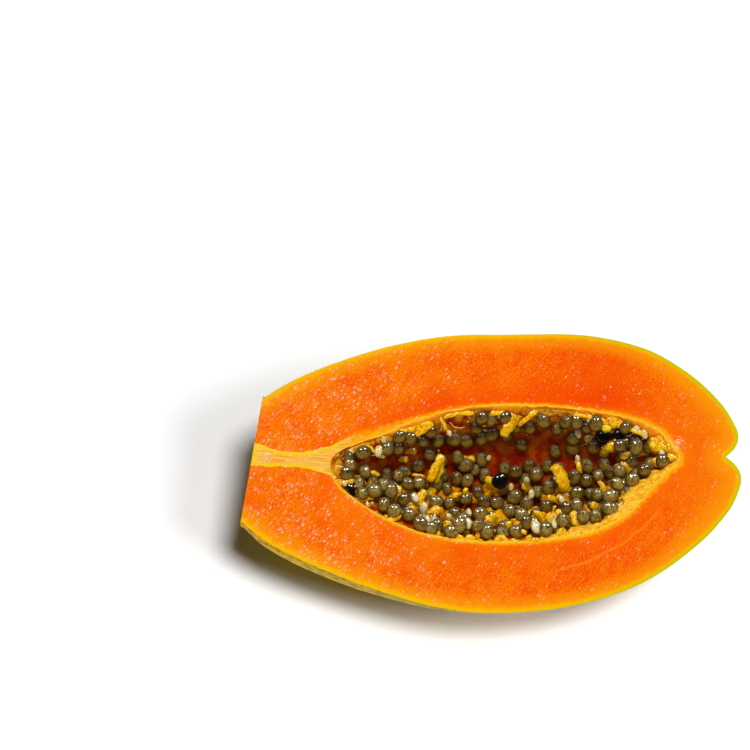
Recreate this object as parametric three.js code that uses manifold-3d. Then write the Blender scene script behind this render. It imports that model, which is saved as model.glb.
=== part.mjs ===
// Half of a ripe papaya, cut lengthwise through its seed cavity and lying on its skin.
//
// Millimetres. Everything is shaped in the fruit's own frame and then laid down together:
//   x runs along the fruit, from the trimmed stem end to the blossom end,
//   y runs across the cut face, and z points out of it. The cut is at z = 0.
// Two nodes come out: fruit_half, which is the skin, the flesh and the strands of pulp that grew as one
// piece, and seeds, which are the gel-coated seeds with the thin pulp that holds them to the cavity's wall.

import * as THREE from "three";
import { mergeVertices } from "three/addons/utils/BufferGeometryUtils.js";
import Module from "manifold-3d";

const { clamp, degToRad, lerp, smoothstep } = THREE.MathUtils;
const UP = new THREE.Vector3(0, 0, 1);
const ACROSS = new THREE.Vector3(0, 1, 0);

// ---- Outside of the fruit ----

// [distance along the fruit, half the cut face's width]. The last points turn into the blossom dimple.
const OUTLINE = [
  [-12, 12], [0, 24], [16, 35.6], [45, 48.3], [80, 58.2], [112, 60.2], [145, 57.4],
  [170, 49.8], [188, 38.2], [201, 25], [207, 14.6], [208.4, 8.4], [206.4, 3.6], [202.6, 0],
];
const RINGS_PER_POINT = 3;
const SIDES_ROUND = 44;
// [distance along the fruit, how far the middle of its section there lies to the side, or above the cut]
const SIDE_SHIFT = [[-12, 1.2], [40, 0.7], [75, -0.9], [112, -2], [152, 0], [178, 2], [209, 2]];
const LIFT = [[-12, -6], [35, -8.5], [62, -7], [78, -4], [94, 1], [120, 5], [165, 5], [209, 0]];
const DEPTH_SHARE = 0.93; // depth below the cut, as a share of the half-width
const LOBES = 5; // one for each carpel
const LOBE_PHASE = Math.PI / 10; // puts both edges of the cut face half-way up a lobe
const LOBE_HEIGHT = 0.003; // along the body, as a share of the radius
const SHOULDER_LOBE_HEIGHT = 0.055; // round the blossom end
const SHOULDER = [150, 205]; // where the one grows into the other
const FURROW_ANGLE = degToRad(-78); // of the furrow that runs from the blossom dimple down the underside
const FURROW_WIDTH = degToRad(34);
const FURROW_FLOOR = 201.8; // how far along the fruit its floor lies

const STEM_CUT_AT = 2.7; // where the stem end was trimmed off, on the middle line
const STEM_CUT_SLANT = degToRad(9.5);

// ---- Seed cavity ----

const CAVITY_RIM = [ // the cavity's edge in the cut face, anticlockwise from the stem end
  [36.6, 1.5], [39.5, -6], [46, -12.2], [54, -18], [64, -23.6], [79, -29], [98, -31.8], [120, -32],
  [144, -28.8], [160, -21.2], [169, -12], [177, -4.2], [182.3, 0.8], [180.2, 7.2], [174.5, 14], [164, 19.2],
  [148, 22.8], [125, 25.8], [98, 25.7], [75, 21], [57, 13.9], [44.5, 9.6], [38.5, 6.3],
];
const CAVITY_MIDDLE = new THREE.Vector3(110, -3, 0);
const CAVITY_DEPTH = 27;
const CAVITY_GRID = [69, 14]; // sides round the rim, and rows from the bottom to its mirror image
const RIM_STEPS = 400;

// ---- Seeds ----

const SEED_RADII = [3.5, 3.05, 2.85];
const SIZE_SPREAD = 0.12; // either way
// The seeds that show best: [x, y] of their middles, and how far out they lie towards the wall.
const TOP_SEEDS = [
  {
    share: 0.86,
    middles: [
      [44.5, 6], [50.5, 7.5], [44.8, 2.4], [51, 0.5], [60, 0], [66, 14.2], [70.5, 13.5], [73.5, 4.5],
      [78.5, 9], [79, 16.5], [89, 15], [94.5, 14.5], [100.8, 21.5], [101, 15.5], [101, 7.5], [105, 21.5],
      [105.5, 17], [111, 3.5], [112, 16.5], [121.5, 19], [121.5, 4.5], [127, 20.5], [129, 4], [132.5, 10],
      [133.5, 2.5], [136.5, 19.5], [140, 11], [141, 19], [145.5, 17.5], [146, 3.5], [153, 3], [155.5, -0.5],
      [161.5, 16.3], [164.5, 3], [176.2, 1.2], [50, -10], [59, -15], [63, -18], [69.3, -19.2], [74, -23.5],
      [78.5, -25.5], [86.6, -27], [101.6, -27.3], [108.2, -27], [114, -27], [147, -21.5], [153, -18.5],
    ],
  },
  {
    share: 0.75,
    middles: [
      [43.6, -1.6], [55.2, -9.2], [59, -6.3], [62, -9], [67.3, -12.4], [65, -1], [69, -4], [74, -3.5],
      [81, -3.5], [81, -12], [85.5, -5.5], [86.5, -12.5], [88.5, -18], [90, -1], [90.5, 7.5], [93.5, -10],
      [94, 4.5], [94.5, -2], [99, -7], [99.5, -17.5], [101.5, -11.5], [107, -12], [112, -16], [114.5, -9.5],
      [117, -18.5], [119.5, -12.5], [124, -7.5], [127.5, -14.5], [129, -6], [135.5, -16], [140, -2],
      [140.5, -9.5], [140, -15], [145, -4], [148.5, -11.5], [150, -2], [153.5, -13.3], [156.5, -8],
      [158.5, -1.5], [158.8, 8.4], [163, -6.4], [165.3, 7.4], [168.3, -2.2], [90, -24.5], [98, -24.6],
      [133, -23.2], [141.8, -21.6],
    ],
  },
];
// The others: how far in from the wall they lie, their least spacing, and the throws made.
const SEED_LAYERS = [
  { inset: 4.3, spacing: 5.8, throws: 4000, heaped: false },
  { inset: 7.9, spacing: 5.7, throws: 1300, heaped: true },
];
const HEAP = { from: [48, -30], to: [166, 1.5] }; // heaped seeds lie inside these x and y
const STALK_SIDES = 3;
const STALK_RADIUS = 1.3; // of the pulp stalk that holds a seed to the lining
const STALK_ROOT = 0.97; // how far out it starts, as a share of the way to the wall
const STALK_FROM = 5.8; // seeds further than this from that root have one
const RIM_SEED_DEPTH = 3; // least depth of a seed's middle below the cut
const BARE_PATCHES = [ // where no seed's middle lies: [middle, radii]
  [[91, 19, -6], [9, 5, 5.5]], // two windows in the back wall
  [[126, 15.5, -15], [10, 5.5, 5]],
  [[64, 6.5, -12], [16, 5.5, 6]], // a trough along the bottom, behind the heap
  [[101, 10.5, -19], [24, 3.5, 5]],
  [[136, 6.5, -19], [14, 4.5, 4.5]],
  [[170, -8.5, -1], [6, 5, 5]], // the fibrous band under the rim by the blossom end
  [[161, -15.5, -2], [7, 5, 5.5]],
  [[151, -21, -3], [6, 3.5, 4]],
];
const LINING = [0.4, 2.7]; // distances of the lining pulp's two faces from the wall
const LINING_GRID = [32, 7];
const LINING_EDGE = 1.6; // how far below the cut the lining ends
const RANDOM_START = 41;

// ---- Strands and lumps of pulp, standing up from the wall among the seeds ----

// [root on the wall, free end, radius, whether a pale unripe seed sits at the free end]
const STRANDS = [
  [[75, -13, -20.2], [83.5, 5.5, -10], 1.6, true],
  [[103, -5, -26.9], [104, -2, -14], 2.1, false],
  [[119, -7, -26.5], [119.5, -3.5, -13.5], 1.2, true],
  [[138, -9, -23.8], [133, -1.5, -11], 2.3, false],
  [[119, 25, -6.3], [111.5, 16.5, -7], 1.9, false],
  [[72.5, 20, -2.6], [76, 16.5, -3.4], 2, false],
  [[154, 19.5, -5], [153.5, 14.5, -3.5], 1.9, false],
  [[153, 9, -18.6], [153.5, 9, -10], 1.8, false],
  [[52, 11, -2.8], [58, 7, -6], 0.9, true],
  [[129, -23.5, -18], [127.5, -19.6, -8.5], 1.7, false],
  [[87, -24, -15], [86, -20, -7], 1.5, true],
  [[94, -10, -25.2], [93, -7, -13], 1.4, false],
];
const STRAND_ROOT = 3; // sunk into the flesh
const STRAND_STEPS = 5;
const STRAND_SIDES = 6;
const STRAND_BEND = 0.12; // sideways, as a share of the length
const STRAND_SWELLING = [1.15, 0.85, 1.2, 0.8, 1.1, 0.75]; // of the radius, from root to free end
const PALE_SEED_RADII = [1.4, 1.4, 2.1];

// ---- How it lies ----

const TIP = degToRad(14); // the cut face leans this far towards -Y
const MIDDLE_TO_ORIGIN = new THREE.Vector3(-109, 4, 54.4); // puts the flat spot it rests on round the origin

// ---- Clearance between the nodes, and the size of the blocks that cut the fruit ----

const NODE_GAP = 0.35;
const BLOCK = 600;

const wasm = await Module();
wasm.setup();

// ---- Helpers ----

// A seeded draw from 0 to 1 (mulberry32), so that every build places the seeds alike.
function seededRandom(state) {
  return () => {
    state = (state + 0x6d2b79f5) | 0;
    let t = Math.imul(state ^ (state >>> 15), state | 1);
    t = (t + Math.imul(t ^ (t >>> 7), t | 61)) ^ t;
    return ((t ^ (t >>> 14)) >>> 0) / 4294967296;
  };
}

// The value at x of a smooth line through [x, value] points.
function along(points, x) {
  const last = points.length - 1;
  let i = 0;
  while (i < last - 1 && x > points[i + 1][0]) i++;
  const [x0, y0] = points[i];
  const [x1, y1] = points[i + 1];
  const before = points[Math.max(i - 1, 0)];
  const after = points[Math.min(i + 2, last)];
  const span = x1 - x0;
  const slopeIn = ((y1 - before[1]) / (x1 - before[0])) * span;
  const slopeOut = ((after[1] - y0) / (after[0] - x0)) * span;
  const t = clamp((x - x0) / span, 0, 1);
  const [t2, t3] = [t * t, t * t * t];
  const bend = (t3 - 2 * t2 + t) * slopeIn + (t3 - t2) * slopeOut;
  return (2 * t3 - 3 * t2 + 1) * y0 + (3 * t2 - 2 * t3) * y1 + bend;
}

// A closed geometry through rings of points, which run anticlockwise round the direction they are
// stacked in. Each end is closed with a fan about its ring's middle.
function loft(rings) {
  const sides = rings[0].length;
  const middle = (ring) => ring.reduce((sum, p) => sum.add(p), new THREE.Vector3()).divideScalar(sides);
  const points = [...rings.flat(), middle(rings[0]), middle(rings.at(-1))];
  const [startMiddle, endMiddle] = [points.length - 2, points.length - 1];
  const lastRing = (rings.length - 1) * sides;
  const faces = [];
  for (let j = 0; j < sides; j++) {
    const next = (j + 1) % sides;
    for (let row = 0; row < lastRing; row += sides) {
      faces.push(row + j, row + next, row + sides + j);
      faces.push(row + next, row + sides + next, row + sides + j);
    }
    faces.push(startMiddle, next, j, endMiddle, lastRing + j, lastRing + next);
  }
  return new THREE.BufferGeometry().setFromPoints(points).setIndex(faces);
}

// A closed geometry as a solid that can be joined and cut.
function solid(geometry) {
  const bare = geometry.clone();
  bare.deleteAttribute("normal");
  bare.deleteAttribute("uv");
  const merged = mergeVertices(bare, 1e-4);
  return new wasm.Manifold(
    new wasm.Mesh({
      numProp: 3,
      vertProperties: merged.attributes.position.array,
      triVerts: new Uint32Array(merged.index.array),
    }),
  );
}

// A solid as a named mesh with its material.
function piece(name, made, material) {
  const { vertProperties, triVerts, numProp, numVert } = made.getMesh();
  const places = new Float32Array(numVert * 3);
  for (let i = 0; i < numVert; i++) places.set(vertProperties.subarray(i * numProp, i * numProp + 3), i * 3);
  const geometry = new THREE.BufferGeometry()
    .setAttribute("position", new THREE.BufferAttribute(places, 3))
    .setIndex(new THREE.BufferAttribute(triVerts, 1));
  geometry.computeVertexNormals();
  const mesh = new THREE.Mesh(geometry, material);
  mesh.name = name;
  return mesh;
}

// A block with one face in the plane through `at`, which fills the side that `direction` points to.
function block(at, direction) {
  const turn = new THREE.Quaternion().setFromUnitVectors(UP, direction);
  const matrix = new THREE.Matrix4().compose(at, turn, new THREE.Vector3(1, 1, 1));
  return new THREE.BoxGeometry(BLOCK, BLOCK, BLOCK).translate(0, 0, BLOCK / 2).applyMatrix4(matrix);
}

// An ellipsoid of 20 faces with these radii, turned and moved into place.
function bead(radii, turn, at) {
  return new THREE.IcosahedronGeometry(1, 0)
    .scale(...radii)
    .applyQuaternion(turn)
    .translate(at.x, at.y, at.z);
}

// A solid without the crumbs that a cut may leave beside its main body.
function largestBody(made) {
  return made.decompose().sort((a, b) => b.volume() - a.volume())[0];
}

// ---- Pieces ----

// The whole fruit's outside, before any cut.
function wholeFruit() {
  const outline = new THREE.SplineCurve(OUTLINE.map(([x, halfWidth]) => new THREE.Vector2(x, halfWidth)));
  const stations = outline.getPoints(RINGS_PER_POINT * (OUTLINE.length - 1)).slice(0, -1);
  const rings = stations.map(({ x, y: halfWidth }) => {
    const lift = along(LIFT, x) * Math.min(halfWidth / 30, 1);
    const shift = along(SIDE_SHIFT, x);
    const height = DEPTH_SHARE * halfWidth + lift;
    const width = halfWidth / Math.sqrt(1 - (lift / height) ** 2);
    const lobe = lerp(LOBE_HEIGHT, SHOULDER_LOBE_HEIGHT, smoothstep(x, ...SHOULDER));
    return Array.from({ length: SIDES_ROUND }, (_, j) => {
      const angle = (2 * Math.PI * j) / SIDES_ROUND;
      const reach = 1 + lobe * Math.cos(LOBES * (angle - LOBE_PHASE));
      const fromFurrow = Math.atan2(Math.sin(angle - FURROW_ANGLE), Math.cos(angle - FURROW_ANGLE));
      const furrow = Math.exp(-((fromFurrow / FURROW_WIDTH) ** 2));
      return new THREE.Vector3(
        lerp(x, Math.min(x, FURROW_FLOOR), furrow),
        shift + width * reach * Math.cos(angle),
        lift + height * reach * Math.sin(angle),
      );
    });
  });
  return solid(loft(rings));
}

// The cavity's edge, as one smooth closed curve.
const rimCurve = new THREE.CatmullRomCurve3(
  CAVITY_RIM.map(([x, y]) => new THREE.Vector3(x, y, 0)), true, "catmullrom", 0.5,
);
const RIM_POINTS = Array.from({ length: RIM_STEPS }, (_, i) => rimCurve.getPoint(i / RIM_STEPS));

// A point of the cavity's wall: `turn` goes once round the rim from 0 to 1,
// and `dip` goes down from the rim, at 0, to the bottom, at a quarter turn.
function wallPoint(turn, dip) {
  const out = rimCurve.getPoint(turn - Math.floor(turn)).sub(CAVITY_MIDDLE).multiplyScalar(Math.cos(dip));
  return out.add(CAVITY_MIDDLE).setZ(-CAVITY_DEPTH * Math.sin(dip));
}

// The same point moved `inset` into the cavity, square to the wall.
function insideWall(turn, dip, inset) {
  const step = 1e-3;
  const at = wallPoint(turn, dip);
  const round = wallPoint(turn + step, dip).sub(wallPoint(turn - step, dip));
  const down = wallPoint(turn, dip + step).sub(wallPoint(turn, dip - step));
  return at.addScaledVector(round.cross(down).normalize(), inset);
}

// The cavity as a solid, with its own mirror image above the cut so that it opens the face cleanly.
function cavity(inset, [sides, rows]) {
  const rings = Array.from({ length: rows - 1 }, (_, i) => {
    const dip = Math.PI / 2 - (Math.PI * (i + 1)) / rows;
    return Array.from({ length: sides }, (_, j) => insideWall(j / sides, dip, inset));
  });
  return solid(loft(rings));
}

// How far out a point lies in the cavity, as a share: 0 at the middle of the cut, and 1 on the wall.
function shareOut(p) {
  const toward = p.clone().setZ(0).sub(CAVITY_MIDDLE);
  const direction = toward.clone().normalize();
  const ahead = (rim) => direction.dot(rim.clone().sub(CAVITY_MIDDLE).normalize());
  const facing = RIM_POINTS.reduce((best, rim) => (ahead(rim) > ahead(best) ? rim : best));
  return Math.hypot(toward.length() / facing.distanceTo(CAVITY_MIDDLE), p.z / CAVITY_DEPTH);
}

// The same point moved straight out from or in to the cavity's middle, as far as `share`.
function atShare(p, share) {
  return p.clone().sub(CAVITY_MIDDLE).multiplyScalar(share / shareOut(p)).add(CAVITY_MIDDLE);
}

// The middle of each seed: the top ones first, and then the thrown ones. Throws are kept where they clear
// the seeds before them, the bare patches and the rim.
function seedPlaces(random) {
  const inside = ([middle, radii], p) =>
    p.toArray().reduce((sum, value, i) => sum + ((value - middle[i]) / radii[i]) ** 2, 0) < 1;
  const onHeap = (p) => p.x > HEAP.from[0] && p.x < HEAP.to[0] && p.y > HEAP.from[1] && p.y < HEAP.to[1];
  const places = TOP_SEEDS.flatMap(({ share, middles }) => middles.map(([x, y]) => {
    const out = shareOut(new THREE.Vector3(x, y, 0));
    const depth = CAVITY_DEPTH * Math.sqrt(Math.max(share ** 2 - out ** 2, 0));
    return new THREE.Vector3(x, y, -Math.max(depth, RIM_SEED_DEPTH));
  }));
  for (const { inset, spacing, throws, heaped } of SEED_LAYERS) {
    for (let i = 0; i < throws; i++) {
      const turn = random();
      const dip = Math.asin(random());
      const at = insideWall(turn, dip, inset);
      if (at.z > -RIM_SEED_DEPTH || (heaped && !onHeap(at))) continue;
      if (BARE_PATCHES.some((patch) => inside(patch, at))) continue;
      if (places.some((other) => other.distanceTo(at) < spacing)) continue;
      places.push(at);
    }
  }
  return places;
}

// The seeds, each turned its own way and sunk in the pulp that lines the cavity.
// None reaches past the lining.
function seedLayer() {
  const random = seededRandom(RANDOM_START);
  const places = seedPlaces(random);
  const beads = places.map((at) => {
    const angles = [random(), random(), random()].map((draw) => 2 * Math.PI * draw);
    const size = 1 + SIZE_SPREAD * (2 * random() - 1);
    const turn = new THREE.Quaternion().setFromEuler(new THREE.Euler(...angles));
    return solid(bead(SEED_RADII.map((r) => r * size), turn, at));
  });
  const stalks = places.flatMap((at) => {
    const root = atShare(at, STALK_ROOT);
    const reach = at.clone().sub(root);
    if (reach.length() < STALK_FROM) return [];
    const turn = new THREE.Quaternion().setFromUnitVectors(ACROSS, reach.clone().normalize());
    const middle = root.addScaledVector(reach, 0.5);
    return solid(new THREE.CylinderGeometry(STALK_RADIUS, STALK_RADIUS, reach.length(), STALK_SIDES)
      .applyQuaternion(turn).translate(middle.x, middle.y, middle.z));
  });
  const room = cavity(LINING[0], LINING_GRID);
  const lining = room
    .subtract(cavity(LINING[1], LINING_GRID))
    .subtract(solid(block(new THREE.Vector3(0, 0, -LINING_EDGE), UP)));
  return wasm.Manifold.union([lining, ...beads, ...stalks]).intersect(room);
}

// One strand's solids, swollen by `extra`: a bent knobbly stalk, and the pale seed at its free end
// if it has one.
function strand([root, end, radius, tipped], extra) {
  const tip = new THREE.Vector3(...end);
  const reach = tip.clone().sub(new THREE.Vector3(...root));
  const start = new THREE.Vector3(...root).addScaledVector(reach.clone().normalize(), -STRAND_ROOT);
  const sideways = new THREE.Vector3(reach.y, -reach.x, 0).setLength(STRAND_BEND * reach.length());
  const path = new THREE.QuadraticBezierCurve3(start, start.clone().lerp(tip, 0.5).add(sideways), tip);
  const { normals, binormals, tangents } = path.computeFrenetFrames(STRAND_STEPS);
  const rings = STRAND_SWELLING.map((swelling, i) => {
    const centre = path.getPointAt(i / STRAND_STEPS);
    return Array.from({ length: STRAND_SIDES }, (_, j) => {
      const angle = (2 * Math.PI * j) / STRAND_SIDES;
      return centre.clone()
        .addScaledVector(normals[i], (radius * swelling + extra) * Math.cos(angle))
        .addScaledVector(binormals[i], (radius * swelling + extra) * Math.sin(angle));
    });
  });
  const parts = [solid(loft(rings))];
  if (tipped) {
    const turn = new THREE.Quaternion().setFromUnitVectors(UP, tangents[STRAND_STEPS]);
    parts.push(solid(bead(PALE_SEED_RADII.map((r) => r + extra), turn, tip)));
  }
  return parts;
}

const allStrands = (extra) => wasm.Manifold.union(STRANDS.flatMap((each) => strand(each, extra)));

// ---- The part ----

const lying = new THREE.Group();
lying.rotation.x = TIP;
lying.position.copy(MIDDLE_TO_ORIGIN);
lying.updateMatrixWorld(true);

const aboveCut = block(new THREE.Vector3(), UP);
const towardStem = new THREE.Vector3(-Math.cos(STEM_CUT_SLANT), Math.sin(STEM_CUT_SLANT), 0);
const pastStem = block(new THREE.Vector3(STEM_CUT_AT, 0, 0), towardStem);
const belowFloor = block(new THREE.Vector3(), UP.clone().negate())
  .applyMatrix4(lying.matrixWorld.clone().invert());

const fruitHalf = wholeFruit()
  .subtract(solid(aboveCut))
  .subtract(solid(pastStem))
  .subtract(solid(belowFloor))
  .subtract(cavity(0, CAVITY_GRID))
  .add(allStrands(0));
const seeds = largestBody(seedLayer().subtract(allStrands(NODE_GAP)));

lying.add(
  piece("fruit_half", fruitHalf, new THREE.MeshStandardMaterial({ color: 0xf47a12, roughness: 0.4 })),
  piece("seeds", seeds, new THREE.MeshStandardMaterial({ color: 0x4b4a33, roughness: 0.25 })),
);

const papaya = new THREE.Group();
papaya.add(lying);
export default papaya;
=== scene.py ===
# Half of a ripe papaya, cut lengthwise and lying on its skin.
#
# The fruit's own frame, in millimetres, is the one that the part's source uses:
#   x along the fruit from the trimmed stem end, y across the cut face, z out of it, the cut at z = 0.
# to_row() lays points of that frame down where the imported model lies, in metres.

import math
from functools import cached_property

import bmesh
import bpy
import numpy as np
from mathutils import Matrix, Vector, noise


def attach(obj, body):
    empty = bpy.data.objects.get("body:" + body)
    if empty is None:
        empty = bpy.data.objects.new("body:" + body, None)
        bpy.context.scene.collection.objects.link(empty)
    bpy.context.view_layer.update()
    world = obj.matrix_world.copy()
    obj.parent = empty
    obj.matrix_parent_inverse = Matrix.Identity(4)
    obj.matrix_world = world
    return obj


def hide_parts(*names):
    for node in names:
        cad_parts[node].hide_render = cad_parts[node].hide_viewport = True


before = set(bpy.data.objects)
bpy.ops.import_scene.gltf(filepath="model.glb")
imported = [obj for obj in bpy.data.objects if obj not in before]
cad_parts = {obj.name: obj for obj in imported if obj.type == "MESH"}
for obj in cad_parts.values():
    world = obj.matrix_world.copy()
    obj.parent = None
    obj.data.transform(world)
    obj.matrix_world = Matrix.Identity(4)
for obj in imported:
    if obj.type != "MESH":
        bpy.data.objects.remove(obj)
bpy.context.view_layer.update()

# ---- The fruit's shape, as in the part's source ----

OUTLINE = np.array([  # (x, half-width) from the stem end to the bottom of the blossom dimple
    (-12, 12), (0, 24), (16, 35.6), (45, 48.3), (80, 58.2), (112, 60.2), (145, 57.4),
    (170, 49.8), (188, 38.2), (201, 25), (207, 14.6), (208.4, 8.4), (206.4, 3.6), (202.6, 0),
])
# (x, shift) of the middle line to the side, and (x, lift) of the section's middle above the cut
SIDE_SHIFT = [(-12, 1.2), (40, 0.7), (75, -0.9), (112, -2), (152, 0), (178, 2), (209, 2)]
LIFT = [(-12, -6), (35, -8.5), (62, -7), (78, -4), (94, 1), (120, 5), (165, 5), (209, 0)]
LIFT_FULL_FROM = 30  # half-width below which the lift fades out
DEPTH_SHARE = 0.93  # depth below the cut, as a share of the half-width
LOBES = 5
LOBE_PHASE = math.pi / 10
LOBE_HEIGHT = 0.003  # along the body, as a share of the radius
SHOULDER_LOBE_HEIGHT = 0.055
SHOULDER = (150, 205)  # where the one grows into the other
FURROW_ANGLE = math.radians(-78)
FURROW_WIDTH = math.radians(34)
FURROW_FLOOR = 201.8
STEM_CUT_AT = 2.7
STEM_CUT_SLANT = math.radians(9.5)

CAVITY_RIM = np.array([  # (x, y) of its edge, round from the stem end
    (36.6, 1.5), (39.5, -6), (46, -12.2), (54, -18), (64, -23.6), (79, -29), (98, -31.8), (120, -32),
    (144, -28.8), (160, -21.2), (169, -12), (177, -4.2), (182.3, 0.8), (180.2, 7.2), (174.5, 14), (164, 19.2),
    (148, 22.8), (125, 25.8), (98, 25.7), (75, 21), (57, 13.9), (44.5, 9.6), (38.5, 6.3),
])
CAVITY_MIDDLE = np.array([110, -3])
CAVITY_DEPTH = 27

SEED_RADII = (3.5, 3.05, 2.85)
SIZE_SPREAD = 0.12
TOP_SEEDS = [  # the ones that show best: how far out they lie, and (x, y) of their middles
    (0.86, [
        (44.5, 6), (50.5, 7.5), (44.8, 2.4), (51, 0.5), (60, 0), (66, 14.2), (70.5, 13.5), (73.5, 4.5),
        (78.5, 9), (79, 16.5), (89, 15), (94.5, 14.5), (100.8, 21.5), (101, 15.5), (101, 7.5), (105, 21.5),
        (105.5, 17), (111, 3.5), (112, 16.5), (121.5, 19), (121.5, 4.5), (127, 20.5), (129, 4), (132.5, 10),
        (133.5, 2.5), (136.5, 19.5), (140, 11), (141, 19), (145.5, 17.5), (146, 3.5), (153, 3), (155.5, -0.5),
        (161.5, 16.3), (164.5, 3), (176.2, 1.2), (50, -10), (59, -15), (63, -18), (69.3, -19.2), (74, -23.5),
        (78.5, -25.5), (86.6, -27), (101.6, -27.3), (108.2, -27), (114, -27), (147, -21.5), (153, -18.5),
    ]),
    (0.75, [
        (43.6, -1.6), (55.2, -9.2), (59, -6.3), (62, -9), (67.3, -12.4), (65, -1), (69, -4), (74, -3.5),
        (81, -3.5), (81, -12), (85.5, -5.5), (86.5, -12.5), (88.5, -18), (90, -1), (90.5, 7.5), (93.5, -10),
        (94, 4.5), (94.5, -2), (99, -7), (99.5, -17.5), (101.5, -11.5), (107, -12), (112, -16), (114.5, -9.5),
        (117, -18.5), (119.5, -12.5), (124, -7.5), (127.5, -14.5), (129, -6), (135.5, -16), (140, -2),
        (140.5, -9.5), (140, -15), (145, -4), (148.5, -11.5), (150, -2), (153.5, -13.3), (156.5, -8),
        (158.5, -1.5), (158.8, 8.4), (163, -6.4), (165.3, 7.4), (168.3, -2.2), (90, -24.5), (98, -24.6),
        (133, -23.2), (141.8, -21.6),
    ]),
]
SEED_LAYERS = [(4.3, 5.8, 4000, False), (7.9, 5.7, 1300, True)]  # the rest: inset, spacing, throws, heaped
HEAP = ((48, -30), (166, 1.5))  # heaped seeds lie between these
RIM_SEED_DEPTH = 3
BARE_PATCHES = [  # where no thrown seed's middle lies: middle, radii
    ((91, 19, -6), (9, 5, 5.5)), ((126, 15.5, -15), (10, 5.5, 5)), ((64, 6.5, -12), (16, 5.5, 6)),
    ((101, 10.5, -19), (24, 3.5, 5)), ((136, 6.5, -19), (14, 4.5, 4.5)), ((170, -8.5, -1), (6, 5, 5)),
    ((161, -15.5, -2), (7, 5, 5.5)), ((151, -21, -3), (6, 3.5, 4)),
]
RANDOM_START = 41
SLIDES = 14  # passes in which the thrown seeds slide apart
NEAREST_SEEDS = 5.3

STRANDS = [  # root, free end, radius, whether a pale seed sits at the free end
    ((75, -13, -20.2), (83.5, 5.5, -10), 1.6, True),
    ((103, -5, -26.9), (104, -2, -14), 2.1, False),
    ((119, -7, -26.5), (119.5, -3.5, -13.5), 1.2, True),
    ((138, -9, -23.8), (133, -1.5, -11), 2.3, False),
    ((119, 25, -6.3), (111.5, 16.5, -7), 1.9, False),
    ((72.5, 20, -2.6), (76, 16.5, -3.4), 2, False),
    ((154, 19.5, -5), (153.5, 14.5, -3.5), 1.9, False),
    ((153, 9, -18.6), (153.5, 9, -10), 1.8, False),
    ((52, 11, -2.8), (58, 7, -6), 0.9, True),
    ((129, -23.5, -18), (127.5, -19.6, -8.5), 1.7, False),
    ((87, -24, -15), (86, -20, -7), 1.5, True),
    ((94, -10, -25.2), (93, -7, -13), 1.4, False),
]

TIP = math.radians(14)
MIDDLE_TO_ORIGIN = np.array([-109, 4, 54.4])

# ---- Fineness ----

RINGS_STEM = 40
RINGS_BODY = 190
RINGS_CROWDED = 0.25  # how much closer than evenly the body's rings stand towards the blossom end
BODY_FROM = 60  # where the slanted rings of the stem end give way to upright ones
COLUMNS = 110
STEM_CAP_ROWS = 36
FACE_EDGE = [0.22, 0.5, 0.8, 1.2, 1.8, 2.6, 3.6, 5.0]  # distances of the cut face's rings from its edges
FACE_MIDDLE_RINGS = 20
WALL_DIPS = np.r_[
    0, 0.012, 0.025, 0.04, 0.06, 0.085, 0.115, 0.15, 0.19, 0.24, np.linspace(0.3, math.pi / 2, 30)
]
EDGE_PASSES, STEM_PASSES = 6, 30  # rounds that find where the skin meets the two cuts
SEWN_WITHIN = 1e-4
SMALL_STEP = 1e-3
TINY = 1e-9


# ---- Curves ----

def along(points, x):
    """The values at x of a smooth line through (x, value) points, level beyond its ends."""
    points = np.array(points, float)
    last = len(points) - 1
    x = np.asarray(x, float)
    i = np.clip(np.searchsorted(points[:, 0], x) - 1, 0, last - 1)
    here, there = points[i], points[i + 1]
    before, after = points[np.maximum(i - 1, 0)], points[np.minimum(i + 2, last)]
    span = there[..., 0] - here[..., 0]
    slope_in = (there[..., 1] - before[..., 1]) / (there[..., 0] - before[..., 0]) * span
    slope_out = (after[..., 1] - here[..., 1]) / (after[..., 0] - here[..., 0]) * span
    t = np.clip((x - here[..., 0]) / span, 0, 1)
    return (
        (2 * t**3 - 3 * t**2 + 1) * here[..., 1] + (t**3 - 2 * t**2 + t) * slope_in
        + (3 * t**2 - 2 * t**3) * there[..., 1] + (t**3 - t**2) * slope_out
    )


def catmull_rom(points, t, closed):
    """The points at t, from 0 to 1, of a smooth curve through points."""
    count = len(points)
    place = np.asarray(t, float) * (count if closed else count - 1)
    i = np.floor(place).astype(int)
    if not closed:
        i = np.minimum(i, count - 2)
    w = (place - i)[..., None]
    four = [(i + k) % count if closed else np.clip(i + k, 0, count - 1) for k in (-1, 0, 1, 2)]
    p0, p1, p2, p3 = (points[k] for k in four)
    v1, v2 = (p2 - p0) / 2, (p3 - p1) / 2
    return p1 + v1 * w + (3 * (p2 - p1) - 2 * v1 - v2) * w**2 + (2 * (p1 - p2) + v1 + v2) * w**3


def smoothstep(x, low, high):
    """A smooth step from 0 at low to 1 at high, which may be the lower of the two."""
    t = np.clip((x - low) / (high - low), 0, 1)
    return t * t * (3 - 2 * t)


def hump(x, width):
    return np.exp(-((x / width) ** 2))


def unit(vectors):
    """The vectors made 1 long."""
    return vectors / np.maximum(np.linalg.norm(vectors, axis=-1, keepdims=True), TINY)


OUTLINE_FINE = catmull_rom(OUTLINE, np.linspace(0, 1, 6000), closed=False)
OUTLINE_RISING = OUTLINE_FINE[: np.argmax(OUTLINE_FINE[:, 0] > SHOULDER[0])]
RIM_FINE = catmull_rom(CAVITY_RIM, np.linspace(0, 1, 4000, endpoint=False), closed=True)
RIM_ANGLE = np.arctan2(*(RIM_FINE - CAVITY_MIDDLE).T[::-1])
RIM_REACH = np.linalg.norm(RIM_FINE - CAVITY_MIDDLE, axis=1)


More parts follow.
